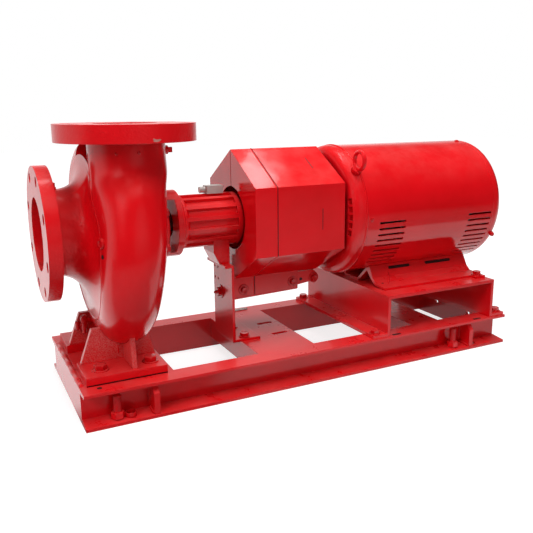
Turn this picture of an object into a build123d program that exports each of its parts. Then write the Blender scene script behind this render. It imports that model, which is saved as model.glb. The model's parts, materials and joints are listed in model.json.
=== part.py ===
from build123d import *
import math
import os

# Horizontal end-suction pump and open motor on a fabricated channel base.
# Millimetres. Origin: centre of the anchor-bolt pattern on the floor.
# +X along the shaft from pump to motor, +Z up, the discharge is offset towards -Y.

# Clearances between pieces
seat_gap = 0.2
bore_clearance = 0.2

# Base frame
base_length = 1090.0
base_width = 390.0
channel_depth = 76.2
channel_flange = 49.0
channel_web = 8.0
channel_tip = 6.5
channel_root = 10.5
end_plate_thickness = 12.0
end_angle_leg = 50.0
end_angle_thickness = 8.0
end_angle_hole_radius = 7.0
end_angle_hole_spacing = 132.0
end_angle_hole_height = 46.0
pump_plate_thickness = 10.0
pump_plate_end = -350.0
cross_start = -152.0
cross_end = -9.0
cross_thickness = 6.0
cross_leg = 52.0
cross_slot_length = 42.0
cross_slot_width = 12.0
cross_slot_x = -46.0
cross_slot_spacing = 84.0
under_cross_start = 276.0
under_cross_end = 360.0
anchor_spacing_x = 904.0
anchor_radius = 9.5
anchor_from_toe = 20.0
stiffener_thickness = 12.0
stiffener_positions = (-401.0, 433.0)
stiffener_chamfer = 14.0
stiffener_inset = 2.0
level_screw_positions = (-478.0, 387.0)
level_screw_radius = 8.0
level_screw_length = 58.0
level_nut_across = 24.0
level_nut_height = 13.0

# Shaft line
shaft_height = 363.0
shaft_radius = 19.0

# Suction and discharge nozzles
flange_radius = 139.7
flange_hole_radius = 11.1
flange_hole_count = 8
suction_face = -579.0
suction_flange_thickness = 27.0
suction_hole_circle = 241.3
suction_bore_radius = 76.2
suction_wall = 12.5
suction_bore_depth = 118.0
discharge_top = 585.0
discharge_offset = -82.0
discharge_flange_thickness = 34.9
discharge_hole_circle = 235.0
discharge_bore_radius = 63.5
discharge_wall = 12.5
discharge_bore_depth = 150.0

# Scroll of the volute casing: stations by angle from the top over the far side, each with the section's
# place along the shaft, its centre's distance from the shaft, half its width and half its height
nozzle_x = -406.0
scroll_stations = (
    (12.0, -414.0, 157.0, 70.0, 36.0),
    (42.0, -414.0, 162.0, 70.0, 42.0),
    (72.0, -414.0, 168.0, 70.0, 48.0),
    (102.0, -414.0, 174.0, 70.0, 53.5),
    (132.0, -415.0, 180.0, 68.0, 58.0),
    (160.0, -417.0, 185.5, 64.5, 60.5),
    (186.0, -421.0, 188.0, 61.0, 61.0),
    (211.0, -427.0, 189.0, 59.0, 59.0),
    (235.0, -429.0, 182.0, 60.0, 60.0),
    (258.0, -424.5, 165.0, 62.5, 62.5),
    (280.0, -418.0, 148.5, 65.0, 65.0),
)
section_flat = 1.0
neck_height = 478.0
neck_step = 1.0
neck_taper = 17.0
neck_taper_height = 25.0
flange_root = 8.0
cone_setback = 36.0
cone_fillet = 32.0
cone_crest_radius = 148.0
casing_back = -352.0
casing_side_radius = 150.0

# Pump feet
foot_start = -531.0
foot_end = -365.0
foot_outer = 155.0
foot_width = 97.0
foot_pad_height = 18.0
foot_web_start = -525.0
foot_web_end = -367.0
foot_web_outer = 72.0
foot_web_thickness = 12.0
foot_web_height = 72.0
foot_web_start_slope = 26.0
foot_web_end_slope = 18.0
foot_rib_x = -431.0
foot_rib_thickness = 10.0
foot_rib_outer = 148.0
foot_rib_lean = 9.0

# Bearing frame
cover_radius = 112.0
cover_thickness = 14.0
adapter_radius = 86.0
adapter_flange_thickness = 12.0
hump_radius = 74.0
hump_end = -286.0
hump_slope = 6.0
lantern_radius = 61.0
window_height = 116.0
window_end = -300.0
window_length = 22.0
barrel_radius = 53.5
barrel_end = -143.0
barrel_rim_length = 12.0
rib_start = -275.0
rib_height = 7.0
rib_count = 14
rib_width = 9.0
frame_bore_radius = 31.0
bearing_cap_radius = 50.0
bearing_cap_thickness = 10.0
bearing_cap_fillet = 4.0
frame_foot_start = -207.0
frame_foot_bottom = 262.0
frame_foot_rise = 28.0
frame_foot_run = 14.0
frame_foot_width = 64.0

# Support leg
leg_x = -168.0
leg_thickness = 6.0
leg_width = 112.0
leg_foot_length = 70.0
leg_head_length = 22.0
leg_hole_radius = 3.5
leg_hole_offset = 38.0
leg_hole_height = 228.0
leg_hole_spacing_y = 20.0
leg_hole_spacing_z = 28.0

# Coupling guard
guard_side = 153.5
guard_height = 367.0
guard_start = -147.0
guard_split = -93.3
guard_end = 80.0
guard_sheet = 3.0
guard_clearance = 1.0
guard_lap = 24.0
guard_hole_radius = 74.0
guard_slit = 3.0
guard_flange_depth = 42.0
bar_thickness = 6.0
bar_end = 25.0
bar_height = 50.0
bar_rise = 6.0
bar_lug_end = 82.0
bar_lug_height = 28.0
bar_lug_drop = 6.0
bar_lug_corner = 10.0
bar_tab_width = 48.0

# Coupling
coupling_radius = 62.0
coupling_hub_radius = 36.0
coupling_gap = 4.0
coupling_middle = -20.0
coupling_flange_length = 26.0
coupling_hub_length = 44.0

# Motor
motor_radius = 159.0
motor_start = 90.0
motor_end = 549.0
bell_length = 34.0
bell_round = 26.0
bell_ring_radius = 116.0
bell_recess = 8.0
bell_hub_radius = 52.0
bell_recess_slope = 6.0
bell_vents = 10
bell_vent_length = 34.0
bell_vent_width = 20.0
bell_vent_depth = 12.0
rim_vents = 5
rim_vent_radius = 140.0
rim_vent_pitch = 7.7
rim_vent_length = 14.0
rim_vent_width = 11.0
rim_vent_depth = 18.0
motor_shaft_inset = 4.0
shell_thickness = 5.0
core_start = 225.0
core_end = 425.0
core_radius = 140.0
winding_length = 36.0
winding_inner_radius = 90.0
motor_shaft_radius = 20.6
louvre_count = 9
louvre_height = 5.5
louvre_pitch = 5.5
louvre_first_angle = -6.0
louvre_length = 76.0
louvre_positions = (200.0, 472.0)

# Motor foot and pedestal
pedestal_start = 168.0
pedestal_end = 501.0
pedestal_top = 176.5
pedestal_width = 384.0
pedestal_plate = 8.0
pedestal_flange = 40.0
motor_foot_start = 190.0
motor_foot_end = 496.0
motor_foot_edge = 147.0
motor_foot_sheet = 6.0
motor_foot_valley = 27.0
motor_foot_ridge_inner = 62.0
motor_foot_ridge_outer = 78.0
motor_foot_step = 94.0
motor_foot_step_rise = 20.0
motor_foot_toe = 107.0
motor_foot_toe_rise = 9.0
motor_foot_lug_length = 32.0
motor_foot_lug_edge = 165.0

# Lifting eye and fittings
suction_plug_radius = 8.5
suction_plug_length = 6.0
suction_plug_head = 12.0
plug_head_length = 9.0
discharge_plug_height = 530.0
discharge_plug_radius = 9.0
discharge_plug_length = 8.0
discharge_plug_head = 11.0
eye_x = 116.0
eye_elevation = 41.0
eye_lean = 68.0
eye_boss_radius = 12.0
eye_boss_height = 10.0
eye_radius = 20.0
eye_wire = 4.8
oil_cup_x = -192.0
oil_cup_length = 39.0
oil_cup_width = 26.0
oil_cup_height = 18.0
oil_knob_radius = 7.0
oil_knob_length = 14.0

os.makedirs("parts", exist_ok=True)

rail_back = base_width / 2 - channel_flange
rail_face = rail_back + channel_web
deck = channel_depth


def save(builder, name):
    """Label a finished piece and write its file."""
    builder.part.label = name
    export_step(builder.part, f"parts/{name}.step")


def shaft_plane(x):
    """Plane across the shaft line at x, facing the motor; local x is +Y, local y is +Z."""
    return Plane(origin=(x, 0, shaft_height), x_dir=(0, 1, 0), z_dir=(1, 0, 0))


def flange_thickness(from_toe):
    """Thickness of a rail's tapered flange at a distance from its toe."""
    taper = (channel_root - channel_tip) / (channel_flange - channel_web)
    return channel_tip + taper * from_toe


side_plane = Plane(origin=(0, 0, 0), x_dir=(1, 0, 0), z_dir=(0, -1, 0))
profile_plane = Plane(origin=(0, 0, shaft_height), x_dir=(1, 0, 0), z_dir=(0, -1, 0))
shaft_axis = Axis((0, 0, shaft_height), (1, 0, 0))

# Rails: channels with their webs' backs inwards and toes outwards
for side, name in ((-1, "rail_front"), (1, "rail_rear")):
    rail_plane = Plane(
        origin=(-side * base_length / 2, side * rail_back, 0), x_dir=(0, side, 0), z_dir=(side, 0, 0)
    )
    with BuildPart() as rail:
        with BuildSketch(rail_plane):
            with BuildLine():
                Polyline(
                    (0, 0),
                    (channel_flange, 0),
                    (channel_flange, channel_tip),
                    (channel_web, channel_root),
                    (channel_web, channel_depth - channel_root),
                    (channel_flange, channel_depth - channel_tip),
                    (channel_flange, channel_depth),
                    (0, channel_depth),
                    close=True,
                )
            make_face()
        extrude(amount=base_length)
        with BuildSketch(Plane.XY.offset(channel_root)):
            with Locations((0, side * (base_width / 2 - anchor_from_toe))):
                with GridLocations(anchor_spacing_x, 0, 2, 1):
                    Circle(anchor_radius)
            for x in level_screw_positions:
                with Locations((x, side * (base_width / 2 - anchor_from_toe))):
                    Circle(level_screw_radius + bore_clearance)
        extrude(amount=-channel_root, mode=Mode.SUBTRACT)
    save(rail, name)

# End plate under the suction flange, flush with the rail ends
with BuildPart() as end_plate_left:
    with BuildSketch(Plane.YZ.offset(-base_length / 2)):
        with Locations((0, channel_depth / 2)):
            Rectangle(2 * rail_back, channel_depth)
    extrude(amount=end_plate_thickness)
save(end_plate_left, "end_plate_left")

# End angle under the motor, its upper leg turned inwards
with BuildPart() as end_angle_right:
    with BuildSketch(Plane.YZ.offset(base_length / 2)):
        with Locations((0, channel_depth / 2)):
            Rectangle(2 * rail_back, channel_depth)
        with Locations((0, end_angle_hole_height)):
            with GridLocations(end_angle_hole_spacing, 0, 2, 1):
                Circle(end_angle_hole_radius, mode=Mode.SUBTRACT)
    extrude(amount=-end_angle_thickness)
    with BuildSketch(Plane.XY.offset(channel_depth)):
        with Locations((base_length / 2 - end_angle_leg / 2, 0)):
            Rectangle(end_angle_leg, 2 * rail_back)
    extrude(amount=-end_angle_thickness)
save(end_angle_right, "end_angle_right")

# Pump plate between the rails, flush with their tops
with BuildPart() as pump_base_plate:
    plate_start = -base_length / 2 + end_plate_thickness
    with BuildSketch(Plane.XY.offset(deck)):
        with Locations(((plate_start + pump_plate_end) / 2, 0)):
            Rectangle(pump_plate_end - plate_start, 2 * rail_back)
    extrude(amount=-pump_plate_thickness)
save(pump_base_plate, "pump_base_plate")


def cross_member(start, end, leg, slotted):
    """Bent plate across the base, open below, with its top flush with the rails."""
    with BuildPart() as member:
        with BuildSketch(side_plane.offset(-rail_back)):
            with BuildLine():
                Polyline(
                    (start, deck - leg),
                    (start, deck),
                    (end, deck),
                    (end, deck - leg),
                    (end - cross_thickness, deck - leg),
                    (end - cross_thickness, deck - cross_thickness),
                    (start + cross_thickness, deck - cross_thickness),
                    (start + cross_thickness, deck - leg),
                    close=True,
                )
            make_face()
        extrude(amount=2 * rail_back)
        if slotted:
            with BuildSketch(Plane.XY.offset(deck)):
                with Locations((cross_slot_x, 0)):
                    with GridLocations(0, cross_slot_spacing, 1, 2):
                        SlotOverall(cross_slot_length, cross_slot_width)
            extrude(amount=-cross_thickness, mode=Mode.SUBTRACT)
    return member


save(cross_member(cross_start, cross_end, cross_leg, True), "middle_cross_member")
save(cross_member(under_cross_start, under_cross_end, cross_leg, False), "pedestal_cross_member")

# Stiffeners welded inside the rails' open sides
stiffener_edge = base_width / 2 - stiffener_inset
for side, side_name in ((-1, "front"), (1, "rear")):
    for x, end_name in zip(stiffener_positions, ("left", "right")):
        with BuildPart() as stiffener:
            with BuildSketch(Plane.YZ.offset(x - stiffener_thickness / 2)):
                with BuildLine():
                    Polyline(
                        (side * rail_face, channel_root),
                        (side * stiffener_edge, flange_thickness(stiffener_inset)),
                        (side * stiffener_edge, deck - channel_root - stiffener_chamfer),
                        (
                            side * (stiffener_edge - stiffener_chamfer),
                            deck - flange_thickness(stiffener_inset + stiffener_chamfer),
                        ),
                        (side * rail_face, channel_depth - channel_root),
                        close=True,
                    )
                make_face()
            extrude(amount=stiffener_thickness)
        save(stiffener, f"rail_stiffener_{side_name}_{end_name}")

# Levelling screws through the rails' lower flanges, each with a nut on top
nut_radius = level_nut_across / math.sqrt(3)
nut_seat = flange_thickness(anchor_from_toe + nut_radius)
for side, side_name in ((-1, "front"), (1, "rear")):
    for x, end_name in zip(level_screw_positions, ("left", "right")):
        y = side * (base_width / 2 - anchor_from_toe)
        with BuildPart() as level_screw:
            with BuildSketch(Plane(origin=(x, y, nut_seat))):
                RegularPolygon(nut_radius, 6)
            extrude(amount=level_nut_height)
            with BuildSketch(Plane(origin=(x, y, 0))):
                Circle(level_screw_radius)
            extrude(amount=level_screw_length)
        save(level_screw, f"levelling_screw_{side_name}_{end_name}")

# Motor pedestal: thick bent plate, open towards both sides, its feet turned out on the rails
with BuildPart() as motor_pedestal:
    with BuildSketch(side_plane.offset(-pedestal_width / 2)):
        with BuildLine():
            Polyline(
                (pedestal_start - pedestal_flange, deck),
                (pedestal_start + pedestal_plate, deck),
                (pedestal_start + pedestal_plate, pedestal_top - pedestal_plate),
                (pedestal_end - pedestal_plate, pedestal_top - pedestal_plate),
                (pedestal_end - pedestal_plate, deck),
                (pedestal_end + pedestal_flange, deck),
                (pedestal_end + pedestal_flange, deck + pedestal_plate),
                (pedestal_end, deck + pedestal_plate),
                (pedestal_end, pedestal_top),
                (pedestal_start, pedestal_top),
                (pedestal_start, deck + pedestal_plate),
                (pedestal_start - pedestal_flange, deck + pedestal_plate),
                close=True,
            )
        make_face()
    extrude(amount=pedestal_width)
save(motor_pedestal, "motor_pedestal")

# Volute casing: the scroll is a loft along a spiral that straightens into the neck
neck_radius = discharge_bore_radius + discharge_wall
suction_neck_radius = suction_bore_radius + suction_wall
with BuildPart() as volute_casing:
    for angle, section_x, radius, half_width, half_height in scroll_stations:
        sine = math.sin(math.radians(angle))
        cosine = math.cos(math.radians(angle))
        centre = (section_x, radius * sine, shaft_height + radius * cosine)
        with BuildSketch(Plane(origin=centre, x_dir=(1, 0, 0), z_dir=(0, cosine, -sine))):
            RectangleRounded(2 * half_width, 2 * half_height, min(half_width, half_height) - section_flat)
    with BuildSketch(Plane(origin=(nozzle_x, discharge_offset, neck_height))):
        neck_section = neck_radius - neck_step
        RectangleRounded(2 * neck_section, 2 * neck_section, neck_section - section_flat)
    loft()
    # Discharge neck and flange, the neck's root tapering into the scroll
    neck_top = discharge_top - discharge_flange_thickness
    with BuildSketch(Plane(origin=(nozzle_x, discharge_offset, 0), x_dir=(1, 0, 0), z_dir=(0, -1, 0))):
        with BuildLine():
            Polyline(
                (0, neck_height - neck_taper_height),
                (neck_radius - neck_taper, neck_height - neck_taper_height),
                (neck_radius, neck_height),
                (neck_radius, neck_top - flange_root),
            )
            RadiusArc((neck_radius, neck_top - flange_root), (neck_radius + flange_root, neck_top), flange_root)
            Polyline(
                (neck_radius + flange_root, neck_top),
                (flange_radius, neck_top),
                (flange_radius, discharge_top),
                (0, discharge_top),
                (0, neck_height - neck_taper_height),
            )
        make_face()
    revolve(axis=Axis((nozzle_x, discharge_offset, 0), (0, 0, 1)))
    # Suction flange, neck and the cone that opens into the scroll
    flange_back = suction_face + suction_flange_thickness
    cone_start = flange_back + cone_setback
    with BuildSketch(profile_plane):
        with BuildLine():
            Polyline(
                (casing_back, 0),
                (suction_face, 0),
                (suction_face, flange_radius),
                (flange_back, flange_radius),
                (flange_back, suction_neck_radius),
                (cone_start, suction_neck_radius),
            )
            RadiusArc(
                (cone_start, suction_neck_radius),
                (cone_start + cone_fillet, suction_neck_radius + cone_fillet),
                -cone_fillet,
            )
            Polyline(
                (cone_start + cone_fillet, suction_neck_radius + cone_fillet),
                (cone_start + cone_fillet, cone_crest_radius),
                (casing_back, casing_side_radius),
                (casing_back, 0),
            )
        make_face()
    revolve(axis=shaft_axis)
    # Register for the cover
    with BuildSketch(shaft_plane(casing_back)):
        Circle(cover_radius + seat_gap)
    extrude(amount=2 * neck_radius, mode=Mode.SUBTRACT)
    # Two feet: pad, web and rib on each side
    pad_top = deck + foot_pad_height
    foot_middle = (foot_start + foot_end) / 2
    for side in (-1, 1):
        with BuildSketch(Plane.XY.offset(deck)):
            with Locations((foot_middle, side * (foot_outer - foot_width / 2))):
                Rectangle(foot_end - foot_start, foot_width)
        extrude(amount=foot_pad_height)
        with BuildSketch(side_plane.offset(-side * foot_web_outer)):
            with BuildLine():
                Polyline(
                    (foot_web_start, deck),
                    (foot_web_end, deck),
                    (foot_web_end, pad_top),
                    (foot_web_end - foot_web_end_slope, pad_top + foot_web_height),
                    (foot_web_start + foot_web_start_slope, pad_top + foot_web_height),
                    (foot_web_start, pad_top),
                    close=True,
                )
            make_face()
        extrude(amount=side * foot_web_thickness)
        rib_inner = foot_web_outer - foot_web_thickness / 2
        with BuildSketch(Plane.YZ.offset(foot_rib_x - foot_rib_thickness / 2)):
            with BuildLine():
                Polyline(
                    (side * rib_inner, deck),
                    (side * foot_rib_outer, deck),
                    (side * foot_rib_outer, pad_top),
                    (side * (foot_rib_outer - foot_rib_lean), pad_top + foot_web_height),
                    (side * rib_inner, pad_top + foot_web_height),
                    close=True,
                )
            make_face()
        extrude(amount=foot_rib_thickness)
    # Nozzle bores
    with BuildSketch(shaft_plane(suction_face)):
        Circle(suction_bore_radius)
    extrude(amount=suction_bore_depth, mode=Mode.SUBTRACT)
    with BuildSketch(Plane(origin=(nozzle_x, discharge_offset, discharge_top))):
        Circle(discharge_bore_radius)
    extrude(amount=-discharge_bore_depth, mode=Mode.SUBTRACT)
    # Flange bolt holes straddle the centre lines
    half_step = 180 / flange_hole_count
    with BuildSketch(shaft_plane(suction_face)):
        with PolarLocations(suction_hole_circle / 2, flange_hole_count, start_angle=half_step):
            Circle(flange_hole_radius)
    extrude(amount=suction_flange_thickness, mode=Mode.SUBTRACT)
    with BuildSketch(Plane(origin=(nozzle_x, discharge_offset, discharge_top))):
        with PolarLocations(discharge_hole_circle / 2, flange_hole_count, start_angle=half_step):
            Circle(flange_hole_radius)
    extrude(amount=-discharge_flange_thickness, mode=Mode.SUBTRACT)
save(volute_casing, "volute_casing")

# Casing cover behind the scroll
with BuildPart() as casing_cover:
    with BuildSketch(shaft_plane(casing_back)):
        Circle(cover_radius)
        Circle(shaft_radius + bore_clearance, mode=Mode.SUBTRACT)
    extrude(amount=cover_thickness)
save(casing_cover, "casing_cover")

# Bearing frame: adapter flange, open lantern, ribbed barrel and support foot in one casting
cover_face = casing_back + cover_thickness
with BuildPart() as bearing_frame:
    with BuildSketch(profile_plane):
        with BuildLine():
            Polyline(
                (cover_face, frame_bore_radius),
                (cover_face, adapter_radius),
                (cover_face + adapter_flange_thickness, adapter_radius),
                (cover_face + adapter_flange_thickness + hump_slope, hump_radius),
                (hump_end, hump_radius),
                (hump_end + hump_slope, lantern_radius),
                (rib_start, lantern_radius),
                (rib_start + rib_height, barrel_radius),
                (barrel_end - barrel_rim_length, barrel_radius),
                (barrel_end - barrel_rim_length, barrel_radius + rib_height),
                (barrel_end, barrel_radius + rib_height),
                (barrel_end, frame_bore_radius),
                close=True,
            )
        make_face()
    revolve(axis=shaft_axis)
    with BuildSketch(shaft_plane(rib_start)):
        with PolarLocations(barrel_radius, rib_count, start_angle=180 / rib_count):
            Rectangle(2 * rib_height, rib_width)
    extrude(amount=barrel_end - barrel_rim_length - rib_start)
    # Lantern window right through, side to side
    with BuildSketch(side_plane.offset(-hump_radius)):
        with Locations((window_end - window_length / 2, shaft_height)):
            Rectangle(window_length, window_height)
    extrude(amount=2 * hump_radius, mode=Mode.SUBTRACT)
    # Foot casting under the bearing end
    with BuildSketch(side_plane.offset(-frame_foot_width / 2)):
        with BuildLine():
            Polyline(
                (frame_foot_start, shaft_height - frame_bore_radius),
                (frame_foot_start, frame_foot_bottom + frame_foot_rise),
                (frame_foot_start + frame_foot_run, frame_foot_bottom),
                (leg_x, frame_foot_bottom),
                (leg_x, shaft_height - frame_bore_radius),
                close=True,
            )
        make_face()
    extrude(amount=frame_foot_width)
    with BuildSketch(shaft_plane(cover_face)):
        Circle(frame_bore_radius)
    extrude(amount=barrel_end - cover_face, mode=Mode.SUBTRACT)
save(bearing_frame, "bearing_frame")

# Bearing cap closing the barrel towards the coupling
with BuildPart() as bearing_cap:
    with BuildSketch(shaft_plane(barrel_end)):
        Circle(bearing_cap_radius)
        Circle(shaft_radius + bore_clearance, mode=Mode.SUBTRACT)
    extrude(amount=bearing_cap_thickness)
    fillet(bearing_cap.edges().group_by(Axis.X)[-1].sort_by(SortBy.RADIUS)[-1], bearing_cap_fillet)
save(bearing_cap, "bearing_cap")

# Pump shaft from the cover to the coupling
with BuildPart() as pump_shaft:
    with BuildSketch(shaft_plane(casing_back)):
        Circle(shaft_radius)
    extrude(amount=coupling_middle - coupling_gap / 2 - casing_back)
save(pump_shaft, "pump_shaft")


def coupling_half(face, direction, bore):
    """Flanged coupling hub: face is the flange's inner face, direction points to its machine."""
    with BuildPart() as half:
        with BuildSketch(shaft_plane(face)):
            Circle(coupling_radius)
            Circle(bore + bore_clearance, mode=Mode.SUBTRACT)
        extrude(amount=direction * coupling_flange_length)
        with BuildSketch(shaft_plane(face)):
            Circle(coupling_hub_radius)
            Circle(bore + bore_clearance, mode=Mode.SUBTRACT)
        extrude(amount=direction * (coupling_flange_length + coupling_hub_length))
    return half


save(coupling_half(coupling_middle - coupling_gap / 2, -1, shaft_radius), "coupling_pump_half")
save(coupling_half(coupling_middle + coupling_gap / 2, 1, motor_shaft_radius), "coupling_motor_half")

# Support leg: bent plate, its foot on the middle cross member and its head under the frame's foot
with BuildPart() as support_leg:
    leg_back = leg_x - leg_thickness
    with BuildSketch(side_plane.offset(-leg_width / 2)):
        with BuildLine():
            Polyline(
                (leg_back, deck),
                (leg_back + leg_foot_length, deck),
                (leg_back + leg_foot_length, deck + leg_thickness),
                (leg_x, deck + leg_thickness),
                (leg_x, frame_foot_bottom),
                (leg_x - leg_head_length, frame_foot_bottom),
                (leg_x - leg_head_length, frame_foot_bottom - leg_thickness),
                (leg_back, frame_foot_bottom - leg_thickness),
                close=True,
            )
        make_face()
    extrude(amount=leg_width)
    with BuildSketch(shaft_plane(leg_x)):
        with Locations((leg_hole_offset, leg_hole_height - shaft_height)):
            with GridLocations(leg_hole_spacing_y, leg_hole_spacing_z, 2, 2):
                Circle(leg_hole_radius)
    extrude(amount=-leg_thickness, mode=Mode.SUBTRACT)
save(support_leg, "support_leg")


def guard_hexagon(side, mode=Mode.ADD):
    """Hexagon with a corner at the top, for a guard of that side length."""
    return RegularPolygon(side, 6, rotation=90, mode=mode)


def guard_plane(x):
    """Plane across the guard at x, centred on it."""
    return Plane(origin=(x, 0, guard_height), x_dir=(0, 1, 0), z_dir=(1, 0, 0))


sheet_inset = guard_sheet * 2 / math.sqrt(3)
guard_bottom = guard_height - guard_side
bar_half = bar_thickness / 2


def guard_half(start, end, flange_start, flange_end):
    """Hexagonal tube from start to end with its two lower flanges hanging beside the bar."""
    with BuildPart() as half:
        with BuildSketch(guard_plane(start)):
            guard_hexagon(guard_side)
            guard_hexagon(guard_side - sheet_inset, Mode.SUBTRACT)
        extrude(amount=end - start)
        flange_top = guard_bottom + bar_half + guard_sheet / 2
        with BuildSketch(Plane.XY.offset(flange_top)):
            with Locations(((flange_start + flange_end) / 2, 0)):
                with GridLocations(0, bar_thickness + guard_sheet, 1, 2):
                    Rectangle(flange_end - flange_start, guard_sheet)
        extrude(amount=-(flange_top - guard_bottom + guard_flange_depth))
    return half


# Guard half at the pump: end face with a shaft hole and slit, and a lap inside the other half
with BuildPart() as guard_pump_half:
    add(guard_half(guard_start, guard_split, guard_start, guard_split - 1).part)
    with BuildSketch(guard_plane(guard_start)):
        guard_hexagon(guard_side)
    extrude(amount=guard_sheet)
    with BuildSketch(shaft_plane(guard_start)):
        Circle(guard_hole_radius)
    extrude(amount=guard_sheet, mode=Mode.SUBTRACT)
    with BuildSketch(guard_plane(guard_start)):
        with Locations((0, guard_side / 2)):
            Rectangle(guard_slit, guard_side - 2 * guard_sheet)
    extrude(amount=guard_sheet, mode=Mode.SUBTRACT)
    with BuildSketch(guard_plane(guard_split - guard_lap)):
        guard_hexagon(guard_side - sheet_inset)
        guard_hexagon(guard_side - 2 * sheet_inset, Mode.SUBTRACT)
    extrude(amount=2 * guard_lap)
save(guard_pump_half, "guard_pump_half")

# Guard half at the motor
save(guard_half(guard_split, guard_end, guard_split, bar_end), "guard_motor_half")

# Bar under the guard, bolted to the leg by its turned end
with BuildPart() as guard_support_bar:
    bar_top = guard_bottom - seat_gap
    with BuildSketch(side_plane.offset(-bar_half)):
        with BuildLine():
            Polyline(
                (leg_x, bar_top - bar_height),
                (bar_end, bar_top - bar_height + bar_rise),
                (bar_end, bar_top - bar_lug_height - bar_lug_drop),
                (bar_lug_end - bar_lug_corner, bar_top - bar_lug_height),
                (bar_lug_end, bar_top - bar_lug_height + bar_lug_corner),
                (bar_lug_end, bar_top - bar_lug_corner),
                (bar_lug_end - bar_lug_corner, bar_top),
                (leg_x, bar_top),
                close=True,
            )
        make_face()
    extrude(amount=bar_thickness)
    with BuildSketch(shaft_plane(leg_x)):
        with Locations((bar_tab_width / 2 - bar_half, bar_top - bar_height / 2 - shaft_height)):
            Rectangle(bar_tab_width, bar_height)
    extrude(amount=bar_thickness)
save(guard_support_bar, "guard_support_bar")

# Motor shell: rolled sheet with louvre slots low on both sides, near each end
shell_start = motor_start + bell_length
shell_end = motor_end - bell_length
louvre_sweep = louvre_pitch * (louvre_count - 1)
with BuildPart() as motor_shell:
    with BuildSketch(shaft_plane(shell_start)):
        Circle(motor_radius)
        Circle(motor_radius - shell_thickness, mode=Mode.SUBTRACT)
    extrude(amount=shell_end - shell_start)
    for x in louvre_positions:
        with BuildSketch(shaft_plane(x - louvre_length / 2)):
            for first_angle in (180 - louvre_first_angle, louvre_first_angle - louvre_sweep):
                with PolarLocations(
                    motor_radius, louvre_count, first_angle, louvre_sweep, endpoint=True
                ):
                    Rectangle(3 * shell_thickness, louvre_height)
        extrude(amount=louvre_length, mode=Mode.SUBTRACT)
save(motor_shell, "motor_shell")


def end_bell(face, direction, bore):
    """Cast end bell with a rounded rim: face is its outermost plane, direction points inwards."""
    with BuildPart() as bell:
        inner = face + direction * bell_length
        rim = face + direction * bell_round
        with BuildSketch(profile_plane):
            with BuildLine():
                Polyline((inner, bore), (inner, motor_radius), (rim, motor_radius))
                RadiusArc((rim, motor_radius), (face, motor_radius - bell_round), -direction * bell_round)
                Polyline(
                    (face, motor_radius - bell_round),
                    (face, bell_ring_radius),
                    (face + direction * bell_recess, bell_ring_radius - bell_recess_slope),
                    (face + direction * bell_recess, bell_hub_radius + bell_recess_slope),
                    (face, bell_hub_radius),
                    (face, bore),
                    (inner, bore),
                )
            make_face()
        revolve(axis=shaft_axis)
        with BuildSketch(shaft_plane(face)):
            with PolarLocations((bell_ring_radius + bell_hub_radius) / 2, bell_vents):
                Rectangle(bell_vent_length, bell_vent_width)
        extrude(amount=direction * (bell_recess + bell_vent_depth), mode=Mode.SUBTRACT)
        vent_sweep = rim_vent_pitch * (rim_vents - 1)
        with BuildSketch(shaft_plane(face)):
            for middle_angle in (0, 180):
                with PolarLocations(
                    rim_vent_radius, rim_vents, middle_angle - vent_sweep / 2, vent_sweep, endpoint=True
                ):
                    Rectangle(rim_vent_width, rim_vent_length)
        extrude(amount=direction * rim_vent_depth, mode=Mode.SUBTRACT)
    return bell


save(end_bell(motor_start, 1, motor_shaft_radius + bore_clearance), "motor_drive_end_bell")
save(end_bell(motor_end, -1, motor_shaft_radius + bore_clearance), "motor_rear_end_bell")

# Stator core with the winding heads that show through the louvres
with BuildPart() as stator:
    with BuildSketch(shaft_plane(core_start)):
        Circle(motor_radius - shell_thickness - seat_gap)
        Circle(winding_inner_radius, mode=Mode.SUBTRACT)
    extrude(amount=core_end - core_start)
    with BuildSketch(shaft_plane(core_start - winding_length)):
        Circle(core_radius)
        Circle(winding_inner_radius, mode=Mode.SUBTRACT)
    extrude(amount=core_end - core_start + 2 * winding_length)
save(stator, "stator")

# Motor shaft from the coupling through both bells
with BuildPart() as motor_shaft:
    with BuildSketch(shaft_plane(coupling_middle + coupling_gap / 2)):
        Circle(motor_shaft_radius)
    extrude(amount=motor_end - motor_shaft_inset - coupling_middle - coupling_gap / 2)
save(motor_shaft, "motor_shaft")

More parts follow.
